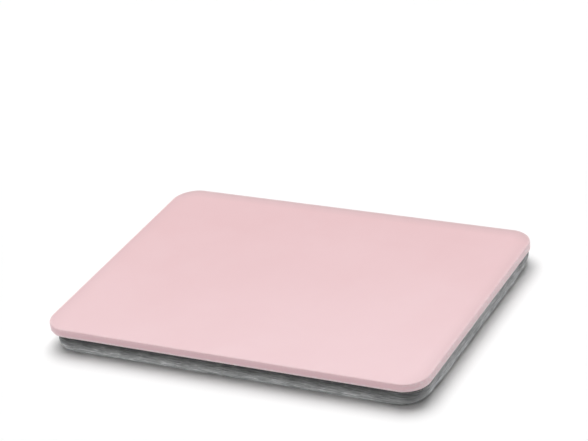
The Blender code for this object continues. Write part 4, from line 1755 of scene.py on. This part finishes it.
@dataclass
class ClothCover:
    """The sewn cover: a top panel, a wall that leaves the rear to the zip, and a bottom panel."""

    form: CushionForm
    window_lap: float = 6 * MILLIMETRE
    cloth_thickness: float = 1.0 * MILLIMETRE
    border_hold: tuple[float, ...] = (0.0, 0.5, 1.0)
    # Painted shade on the top panel, near its border under the board.
    border_shade: float = 0.3
    border_fade: float = 0.1
    flutter: float = 0.35 * MILLIMETRE
    flutter_length: float = 55 * MILLIMETRE
    flutter_ratio: float = 3.1
    slack: float = 0.012
    pressure: float = 4.0
    frames: int = 20
    move_limit: float = 1.0 * MILLIMETRE

    def __post_init__(self) -> None:
        """Read the zip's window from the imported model."""
        _, tape_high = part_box("zip_tape_upper")
        self.window_half = tape_high.x - self.form.middle.x - self.window_lap
        self.stations = self.window_stations()

    def window_stations(self) -> list[Station]:
        """Return the places round the outline, with one at each end of the zip's window.

        Returns:
            The places.
        """
        form = self.form
        stations = form.outline.stations(form.across, form.along)
        for end in (-self.window_half, self.window_half):
            rear = [place for place in stations if place.outward.y > REAR_FACING]
            place = min(rear, key=lambda place: abs(place.point.x - end))
            stations[stations.index(place)] = Station(
                point=Vector((end, place.point.y)),
                outward=place.outward,
                distance=place.distance + place.point.x - end,
            )
        return stations

    def in_window(self, place: Station) -> bool:
        """Return whether a place on the outline lies in the zip's window, or at its end."""
        at_rear = place.outward.y > REAR_FACING
        return at_rear and abs(place.point.x) < self.window_half + WELD_DISTANCE

    def build_pad(self) -> bpy.types.Object:
        """Return the whole cushion as one closed mesh, with panels tagged and seams held.

        Returns:
            The pad, which is no piece yet and stands round the origin.
        """
        form = self.form
        section = form.section()
        held: list[float] = []
        shade: list[float] = []
        panel_cloth: list[Vector] = []
        wall_cloth: list[Vector] = []
        rings = []
        run = 0.0
        previous = section[0]
        for ring in section:
            run += math.hypot(ring.inset - previous.inset, ring.height - previous.height)
            previous = ring
            points = []
            for place in self.stations:
                height = form.level(place, ring.height)
                points.append(place.inset(ring.inset - form.reach(place, height), height))
                held.append(1.0 if self.in_window(place) else ring.held)
                shade.append(form.painted_shade(place, height))
                flat = place.point - place.outward * (form.rim_radius - run)
                panel_cloth.append(flat.to_3d())
                wall_cloth.append(Vector((place.distance, height, 0)))
            rings.append(points)

        skin = Skin(form, rings)
        tags = []
        for ring in section[:-1]:
            for step, place in enumerate(self.stations):
                after = self.stations[(step + 1) % skin.count]
                in_window = self.in_window(place) and self.in_window(after)
                is_open = in_window and ring.panel is Panel.WALL
                tags.append((Panel.DROPPED if is_open else ring.panel).value)
        for panel, level, bulge in (
            (Panel.TOP, form.height, form.crown),
            (Panel.BOTTOM, form.lift, -form.belly),
        ):
            is_top = panel is Panel.TOP
            for (column, row), point in skin.close(is_top, level, bulge).items():
                edge = min(column, form.across - column, row, form.along - row)
                held.append(self.border_hold[min(edge, len(self.border_hold)) - 1])
                edge_shade = max(0.0, self.border_shade - self.border_fade * edge)
                shade.append(edge_shade if is_top else 0.0)
                panel_cloth.append(Vector((point.x, point.y, 0)))
                wall_cloth.append(Vector((0, 0, 0)))
            tags += [panel.value] * (form.across * form.along)

        mesh = mesh_from("cushion pad", (skin.points, skin.faces))
        mesh.polygons.foreach_set("material_index", tags)
        store_vectors(mesh, "panel_cloth", panel_cloth)
        store_vectors(mesh, "wall_cloth", wall_cloth)
        store_numbers(mesh, "shade", shade)
        pad = add_object("cushion pad", mesh)
        group = pad.vertex_groups.new(name="held")
        for index, weight in enumerate(held):
            if weight > 0:
                group.add([index], weight, "REPLACE")
        self.ruffle(mesh, held)
        return pad

    def ruffle(self, mesh: bpy.types.Mesh, held: Sequence[float]) -> None:
        """Move the free cloth a little in and out, so that it doesn't lie dead straight.

        Args:
            mesh: The pad's mesh.
            held: How firmly each of its points is held.
        """
        for vertex, weight in zip(mesh.vertices, held):
            if weight == 1.0:
                continue
            place = vertex.co / self.flutter_length
            wave = noise.noise(place) + 0.5 * noise.noise(place * self.flutter_ratio)
            away = Vector((vertex.co.x, vertex.co.y, 0)).normalized()
            vertex.co += away * wave * self.flutter

    def relax(self, pad: bpy.types.Object) -> None:
        """Let the cloth swell over its filling between the held seams, and keep the result.

        Args:
            pad: The pad.
        """
        rest = [vertex.co.copy() for vertex in pad.data.vertices]
        scene = bpy.context.scene
        scene.frame_start = 1
        scene.frame_end = self.frames
        modifier = pad.modifiers.new("cloth", "CLOTH")
        modifier.point_cache.frame_start = 1
        modifier.point_cache.frame_end = self.frames
        modifier.collision_settings.use_collision = False
        settings = modifier.settings
        settings.quality = 7
        settings.mass = 0.3
        settings.tension_stiffness = 15
        settings.compression_stiffness = 15
        settings.shear_stiffness = 5
        settings.bending_stiffness = 0.4
        settings.use_pressure = True
        settings.uniform_pressure_force = self.pressure
        settings.shrink_min = -self.slack
        settings.effector_weights.gravity = 0
        settings.vertex_group_mass = "held"
        for step in range(1, self.frames + 1):
            scene.frame_set(step)
        relaxed = evaluated_mesh(pad)
        scene.frame_set(1)
        moved = 0.0
        for vertex, start in zip(relaxed.vertices, rest):
            shift = vertex.co - start
            moved = max(moved, shift.length)
            if shift.length > self.move_limit:
                vertex.co = start + shift * (self.move_limit / shift.length)
        pad.modifiers.clear()
        pad.data = relaxed
        logger.info("cushion pad relaxed: the cloth moved by up to %.1f mm", moved / MILLIMETRE)

    def subdivide(self, pad: bpy.types.Object) -> None:
        """Refine the pad once, and keep it above the floor.

        Args:
            pad: The pad.
        """
        modifier = pad.modifiers.new("finer", "SUBSURF")
        modifier.levels = 1
        modifier.render_levels = 1
        bake_modifiers(pad)
        for vertex in pad.data.vertices:
            vertex.co.z = max(vertex.co.z, 0.0)

    def cut_panel(self, pad: bpy.types.Object, panel: Panel, name: str) -> bpy.types.Object:
        """Return one panel of the cover, cut out of the pad and given the cloth's thickness.

        Args:
            pad: The whole pad.
            panel: Which panel.
            name: The new piece's name.

        Returns:
            The panel.
        """
        bm = bmesh.new()
        bm.from_mesh(pad.data)
        bmesh.ops.translate(bm, vec=self.form.middle, verts=bm.verts)
        others = [face for face in bm.faces if face.material_index != panel.value]
        bmesh.ops.delete(bm, geom=others, context="FACES")
        for face in bm.faces:
            face.material_index = 0
        mesh = bpy.data.meshes.new(name)
        bm.to_mesh(mesh)
        bm.free()
        kept, dropped = "wall_cloth", "panel_cloth"
        if panel is not Panel.WALL:
            kept, dropped = dropped, kept
        mesh.attributes.remove(mesh.attributes[dropped])
        mesh.attributes[kept].name = "cloth"
        piece = add_piece(name, mesh)
        modifier = piece.modifiers.new("thickness", "SOLIDIFY")
        modifier.thickness = self.cloth_thickness
        modifier.offset = -1
        bake_modifiers(piece)
        piece.data.shade_smooth()
        piece.data.set_sharp_from_angle(angle=CLOTH_CREASE_ANGLE)
        return piece

    def build(self) -> None:
        """Build and dress the three panels of the cover."""
        pad = self.build_pad()
        self.relax(pad)
        self.subdivide(pad)
        top = self.cut_panel(pad, Panel.TOP, "cover_top_cloth")
        wall = self.cut_panel(pad, Panel.WALL, "cover_wall_cloth")
        bottom = self.cut_panel(pad, Panel.BOTTOM, "cover_bottom_cloth")
        bpy.data.objects.remove(pad)
        HeatherCloth().dress(top, wall, bottom)
        install(top, Body.CUSHION, Slot.CLOTH, "cover_top_panel")
        install(wall, Body.CUSHION, Slot.CLOTH, "cover_side_wall")
        install(bottom, Body.CUSHION, Slot.CLOTH, "cover_bottom_panel")


@dataclass
class FoamPad:
    """The foam core inside the cover, with a recess along its rear for the zip."""

    form: CushionForm
    wall: float = 1.5 * MILLIMETRE
    edge_steps: int = 4
    recess_margin: float = 0.4 * MILLIMETRE
    end_room: float = 0.3 * MILLIMETRE

    def build(self) -> None:
        """Build and dress the core."""
        form = self.form
        radius = form.rim_radius - self.wall
        bottom = form.lift + self.wall
        top = form.height - self.wall
        section = []
        for step in range(self.edge_steps + 1):
            across, down = round_edge(radius, step / self.edge_steps)
            section.append((self.wall + across, top - down))
        section += [(inset, bottom + top - height) for inset, height in reversed(section)]
        slider_low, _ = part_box("zip_slider")
        _, tape_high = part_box("zip_tape_upper")
        recess = slider_low.y - self.recess_margin - form.middle.y
        reach = tape_high.x + self.end_room - form.middle.x
        stations = form.outline.stations(form.across, form.along)
        rings = []
        for inset, height in section:
            ring = [place.inset(inset - form.reach(place, height), height) for place in stations]
            for point in ring:
                if abs(point.x) < reach and point.y > 0:
                    point.y = min(point.y, recess)
            rings.append(ring)
        skin = Skin(form, rings)
        skin.close(True, top, form.crown)
        skin.close(False, bottom, -form.belly / 2)
        mesh = mesh_from("foam_pad", (skin.points, skin.faces))
        mesh.transform(Matrix.Translation(form.middle))
        core = add_piece("foam_pad", mesh)
        MemoryFoam().dress(core)
        install(core, Body.CUSHION, Slot.FOAM, "foam_core")


@dataclass
class Zip:
    """The zip along the rear: two tapes, two rows of moulded teeth, stops, slider and pull."""

    form: CushionForm
    tooth_pitch: float = 2.4 * MILLIMETRE
    tooth_root_width: float = 1.5 * MILLIMETRE
    tooth_neck_width: float = 0.86 * MILLIMETRE
    tooth_head_width: float = 1.02 * MILLIMETRE
    tooth_soft: float = 0.16 * MILLIMETRE
    spine_inner: float = 1.3 * MILLIMETRE
    bead_radius: float = 0.48 * MILLIMETRE
    bead_steps: int = 12
    metal_softening: float = 0.12 * MILLIMETRE
    tape_softening: float = 0.08 * MILLIMETRE
    opening: float = 2.3 * MILLIMETRE
    far_anchor: float = 30.0 * MILLIMETRE
    throat_anchor: float = 2.7 * MILLIMETRE
    throat_keep: float = 0.45
    throat_tape_keep: float = 0.87
    stitch_length: float = 2.3 * MILLIMETRE
    stitch_gap: float = 0.6 * MILLIMETRE
    stitch_inset: float = 1.1 * MILLIMETRE
    stitch_arc: tuple[Point, ...] = ((0, -0.8), (0.15, 0.35), (0.5, 0.6), (0.85, 0.35), (1, -0.8))
    thread_radius: float = 0.14 * MILLIMETRE

    def __post_init__(self) -> None:
        """Read the zip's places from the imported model."""
        upper_low, upper_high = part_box("zip_teeth_upper")
        lower_low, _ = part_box("zip_teeth_lower")
        self.chain_start = upper_low.x
        self.chain_end = upper_high.x
        self.inner = upper_low.y
        self.outer = upper_high.y
        self.depth_middle = (self.outer + self.inner) / 2
        self.middle = (upper_high.z + lower_low.z) / 2
        self.spine_outer = upper_high.z - self.middle
        self.tip = self.middle - upper_low.z
        slider_low, slider_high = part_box("zip_slider")
        self.split = self.chain_start + slider_high.x - slider_low.x + self.tooth_pitch / 2
        tape_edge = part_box("zip_tape_upper")[0].z - self.middle
        self.seam_height = self.form.upper_seam - self.middle
        self.tape_keep = 1 - self.opening / (self.seam_height - tape_edge)
        self.clip_height = sum(corner.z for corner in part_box("zip_clip_upper")) / 2 - self.middle

    def span(self, stretch: Stretch) -> tuple[float, float]:
        """Return the start and the end of a stretch along the zip.

        Args:
            stretch: The stretch.

        Returns:
            The X of its two ends.
        """
        if stretch is Stretch.THROAT:
            return self.chain_start, self.split
        return self.split, self.chain_end

    def tooth_section(self) -> list[Triple]:
        """Return a tooth's rings from root to tip, as height, width and share of its depth.

        Returns:
            The rings. The height counts from the zip's middle line.
        """
        bead = (self.spine_inner + self.spine_outer) / 2
        return [
            (self.spine_outer, 0.7 * self.tooth_root_width, 0.75),
            (bead + 0.5 * self.bead_radius, self.tooth_root_width, 1.0),
            (bead - 0.6 * self.bead_radius, self.tooth_root_width, 1.0),
            (0.75 * self.spine_inner, 1.1 * self.tooth_neck_width, 0.92),
            (0.25 * self.spine_inner, self.tooth_neck_width, 0.86),
            (-0.2 * self.tip, self.tooth_head_width, 0.92),
            (-0.75 * self.tip, 0.94 * self.tooth_head_width, 0.86),
            (-self.tip, 0.55 * self.tooth_head_width, 0.6),
        ]

    def build_teeth(self, row: Row, stretch: Stretch) -> bpy.types.Object:
        """Return a stretch of a row of teeth with the bead that they clamp.

        Args:
            row: Which half of the zip.
            stretch: Which stretch of it.

        Returns:
            The teeth and their bead.
        """
        start, end = self.span(stretch)
        depth = (self.outer - self.inner) / 2
        shift = 0.0 if row is Row.UPPER else self.tooth_pitch / 2
        first = self.chain_start + self.tooth_pitch / 2 + shift
        count = int((self.chain_end - first - self.tooth_root_width / 2) / self.tooth_pitch) + 1
        shapes = []
        for index in range(count):
            x = first + index * self.tooth_pitch
            if not start < x < end:
                continue
            rings = []
            for height, width, share in self.tooth_section():
                centre = Vector((x, self.depth_middle, self.middle + row.value * height))
                ring = self.soft_rectangle(width / 2, depth * share)
                rings.append([centre + place for place in ring])
            if row is Row.UPPER:
                rings.reverse()
            shapes.append(loft(rings))
        name = f"zip_row_{row.name.lower()}_{stretch.value}"
        return add_shape(name, *shapes, self.bead(row, start, end))

    def soft_rectangle(self, half_x: float, half_y: float) -> list[Vector]:
        """Return a rectangle with cut corners, round the origin.

        Args:
            half_x: Half its width.
            half_y: Half its depth.

        Returns:
            Its corners, in order.
        """
        inner_x = half_x - self.tooth_soft
        inner_y = half_y - self.tooth_soft
        right = ((inner_x, -half_y), (half_x, -inner_y), (half_x, inner_y), (inner_x, half_y))
        ring = [Vector((x, y, 0)) for x, y in right]
        return ring + [-place for place in ring]

    def bead(self, row: Row, start: float, end: float) -> Shape:
        """Return the cord along a tape's edge that the teeth clamp.

        Args:
            row: Which half of the zip.
            start: The cord's first end.
            end: Its other end.

        Returns:
            The cord's shape.
        """
        level = self.middle + row.value * (self.spine_inner + self.spine_outer) / 2
        rings = []
        for x in (start, end):
            centre = Vector((x, self.depth_middle, level))
            angles = [2 * math.pi * step / self.bead_steps for step in range(self.bead_steps)]
            rings.append(
                [centre + Vector((0, math.cos(a), math.sin(a))) * self.bead_radius for a in angles]
            )
        return loft(rings)

    def build_stitching(self, row: Row) -> bpy.types.Object:
        """Return the row of stitches that holds a tape to the cover's lip.

        Args:
            row: Which half of the zip.

        Returns:
            The new piece.
        """
        form = self.form
        seam = form.upper_seam if row is Row.UPPER else form.lower_seam
        level = seam + row.value * self.stitch_inset
        tape_low, tape_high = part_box("zip_tape_upper")
        step = self.stitch_length + self.stitch_gap
        stitches = []
        for index in range(1, int((tape_high.x - tape_low.x) / step) - 1):
            path = []
            for share, out in self.stitch_arc:
                x = tape_low.x + index * step + share * self.stitch_length
                path.append(Vector((x, form.rear_face + out * self.thread_radius, level)))
            stitches.append(thread(path, self.thread_radius, 5))
        return add_shape(f"zip_stitching_{row.name.lower()}", *stitches)

    def build_tape(self, row: Row, stretch: Stretch) -> bpy.types.Object:
        """Return a stretch of a tape, cut from a softened copy of the solid.

        Args:
            row: Which half of the zip.
            stretch: Which stretch of it.

        Returns:
            The stretch of tape.
        """
        half = row.name.lower()
        name = f"zip_webbing_{half}_{stretch.value}"
        piece = softened_copy(f"zip_tape_{half}", name, self.tape_softening)
        bm = bmesh.new()
        bm.from_mesh(piece.data)
        cut = bmesh.ops.bisect_plane(
            bm,
            geom=[*bm.verts, *bm.edges, *bm.faces],
            plane_co=(self.split, 0, 0),
            plane_no=(1, 0, 0),
            clear_outer=stretch is Stretch.THROAT,
            clear_inner=stretch is Stretch.OPENING,
        )
        rim = [item for item in cut["geom_cut"] if isinstance(item, bmesh.types.BMEdge)]
        bmesh.ops.edgeloop_fill(bm, edges=rim)
        bmesh.ops.recalc_face_normals(bm, faces=bm.faces)
        bm.to_mesh(piece.data)
        bm.free()
        return piece

    def gather(self, piece: bpy.types.Object) -> None:
        """Give a piece a mesh of its own.

        Args:
            piece: The piece.
        """
        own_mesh(piece)

    def part_row(
        self, teeth: bpy.types.Object, tape: bpy.types.Object, stretch: Stretch
    ) -> None:
        """Give a stretch of teeth and its tape meshes of their own.

        Both stretches are treated alike.

        Args:
            teeth: The teeth.
            tape: The tape under them.
            stretch: Which stretch they are.
        """
        if stretch is Stretch.THROAT:
            self.gather(teeth)
            self.gather(tape)
        else:
            self.gather(teeth)
            self.gather(tape)

    def build(self) -> None:
        """Build and dress the zip."""
        webbing = ZipWebbing()
        nylon = MouldedNylon()
        metal = CastMetal()
        polyester = SewingThread()
        for row in Row:
            half = row.name.lower()
            for stretch in Stretch:
                tape = self.build_tape(row, stretch)
                teeth = self.build_teeth(row, stretch)
                webbing.dress(tape)
                nylon.dress(teeth)
                install(tape, Body.CUSHION, Slot.ZIP_TAPE, f"zip_tape_{half}")
                install(teeth, Body.CUSHION, Slot.ZIP_TEETH, f"zip_teeth_{half}")
                self.part_row(teeth, tape, stretch)
            stitching = self.build_stitching(row)
            clip = softened_copy(f"zip_clip_{half}", f"zip_stop_{half}", self.metal_softening)
            polyester.dress(stitching)
            metal.dress(clip)
            install(stitching, Body.CUSHION, Slot.CLOTH)
            install(clip, Body.CUSHION, Slot.ZIP_METAL, f"zip_clip_{half}")
            self.gather(clip)
        block = softened_copy("zip_end_block", "zip_end_stop", self.metal_softening)
        slider = softened_copy("zip_slider", "zip_slider_cast", self.metal_softening)
        pull = softened_copy("zip_pull", "zip_pull_cast", self.metal_softening)
        metal.dress(block, slider, pull)
        install(block, Body.CUSHION, Slot.ZIP_METAL, "zip_end_block")
        install(slider, Body.SLIDER, Slot.ZIP_METAL, "zip_slider")
        install(pull, Body.PULL, Slot.ZIP_METAL, "zip_pull")


def heading(azimuth: float, elevation: float = 0.0) -> Vector:
    """Return the direction at an azimuth from +X towards +Y and an elevation, in degrees.

    Args:
        azimuth: The angle from +X towards +Y.
        elevation: The angle above the floor.

    Returns:
        The direction, one metre long.
    """
    turn = math.radians(azimuth)
    rise = math.radians(elevation)
    flat = math.cos(rise)
    return Vector((flat * math.cos(turn), flat * math.sin(turn), math.sin(rise)))


@dataclass(frozen=True)
class Lamp:
    """A soft round lamp, far away. Its angles are in degrees."""

    name: str
    azimuth: float
    elevation: float
    angle: float
    strength: float

    def build(self) -> None:
        """Hang the lamp."""
        data = bpy.data.lights.new(self.name, "SUN")
        data.energy = self.strength
        data.angle = math.radians(self.angle)
        lamp = add_object(self.name, data)
        turn = heading(self.azimuth, self.elevation).to_track_quat("Z", "Y")
        lamp.rotation_euler = turn.to_euler()
        lamp.visible_glossy = False


@dataclass(frozen=True)
class Glow:
    """A bright band low on the room's wall, round one azimuth in degrees."""

    azimuth: float
    strength: float
    edge: Point = (0.35, 0.95)
    rise: float = 0.16

    def light(self, graph: NodeGraph, x: Socket, y: Socket, z: Socket) -> Socket:
        """Return how bright the band is in a direction.

        Args:
            graph: The world's node tree.
            x: The direction's part along X.
            y: Its part along Y.
            z: Its part along Z.

        Returns:
            The brightness.
        """
        axis = heading(self.azimuth)
        near = graph.total(graph.math("MULTIPLY", x, axis.x), graph.math("MULTIPLY", y, axis.y))
        low = graph.remap(z, (0, self.rise), (self.strength, 0))
        return graph.math("MULTIPLY", low, graph.remap(near, self.edge))


@dataclass
class Studio:
    """The floor, the light and the camera."""

    floor_size: float = 12.0
    floor_drop: float = 0.3 * MILLIMETRE
    key: Lamp = Lamp("key", azimuth=120, elevation=65.5, angle=56, strength=3.06)
    fill: Lamp = Lamp("fill", azimuth=245, elevation=52, angle=35, strength=0.27)
    glows: tuple[Glow, ...] = (Glow(azimuth=230, strength=6.8), Glow(azimuth=20, strength=6.9))
    room: float = 0.03
    sheen: float = 1.15
    camera_place: Triple = (1.0457, -1.8608, 1.21525)
    camera_yaw: float = 29.11
    camera_pitch: float = -27.84
    camera_roll: float = -7.026
    image_width: float = 588.0
    focal_pixels: float = 2307.1
    sensor_width: float = 36.0
    centre_shift: Point = (0.00116, 0.01231)

    def build_floor(self) -> None:
        """Lay the floor just under the cushion."""
        half = self.floor_size / 2
        corners = [(-half, -half), (half, -half), (half, half), (-half, half)]
        points = [Vector((x, y, -self.floor_drop)) for x, y in corners]
        floor = add_shape("floor", (points, [[0, 1, 2, 3]]))
        StudioFloor().dress(floor)

    def build_world(self) -> None:
        """Surround the object with a dim room that the camera sees white."""
        world = bpy.data.worlds.new("studio")
        bpy.context.scene.world = world
        world.use_nodes = True
        graph = NodeGraph(world.node_tree)
        x, y, z = graph.split(graph.direction())
        glow = graph.total(*(glow.light(graph, x, y, z) for glow in self.glows))
        room = graph.math("ADD", glow, self.room)
        mirrored = graph.choose(graph.ray("Is Glossy Ray"), self.sheen, room)
        strength = graph.choose(graph.ray("Is Camera Ray"), 1.0, mirrored)
        background = graph.nodes["Background"]
        background.inputs["Color"].default_value = (*WHITE, 1.0)
        graph.feed(background.inputs["Strength"], strength)

    def build_camera(self) -> None:
        """Set the camera where the photograph was taken."""
        data = bpy.data.cameras.new("camera")
        data.sensor_width = self.sensor_width
        data.lens = self.focal_pixels / self.image_width * self.sensor_width
        data.shift_x, data.shift_y = self.centre_shift
        camera = add_object("camera", data)
        camera.location = self.camera_place
        yaw = Matrix.Rotation(math.radians(self.camera_yaw), 4, "Z")
        pitch = Matrix.Rotation(math.radians(90 + self.camera_pitch), 4, "X")
        roll = Matrix.Rotation(math.radians(self.camera_roll), 4, "Z")
        camera.rotation_euler = (yaw @ pitch @ roll).to_euler()
        bpy.context.scene.camera = camera

    def build(self) -> None:
        """Set up the studio."""
        self.build_floor()
        self.build_world()
        self.key.build()
        self.fill.build()
        self.build_camera()
        bpy.context.scene.view_settings.view_transform = "Standard"


def main() -> None:
    """Build the lap desk and its studio."""
    logging.basicConfig(level=logging.INFO, format="%(message)s")
    Studio().build()
    Board().build()
    FastenerTapes().build()
    form = CushionForm()
    ClothCover(form).build()
    FoamPad(form).build()
    Zip(form).build()


if __name__ == "__main__":
    main()
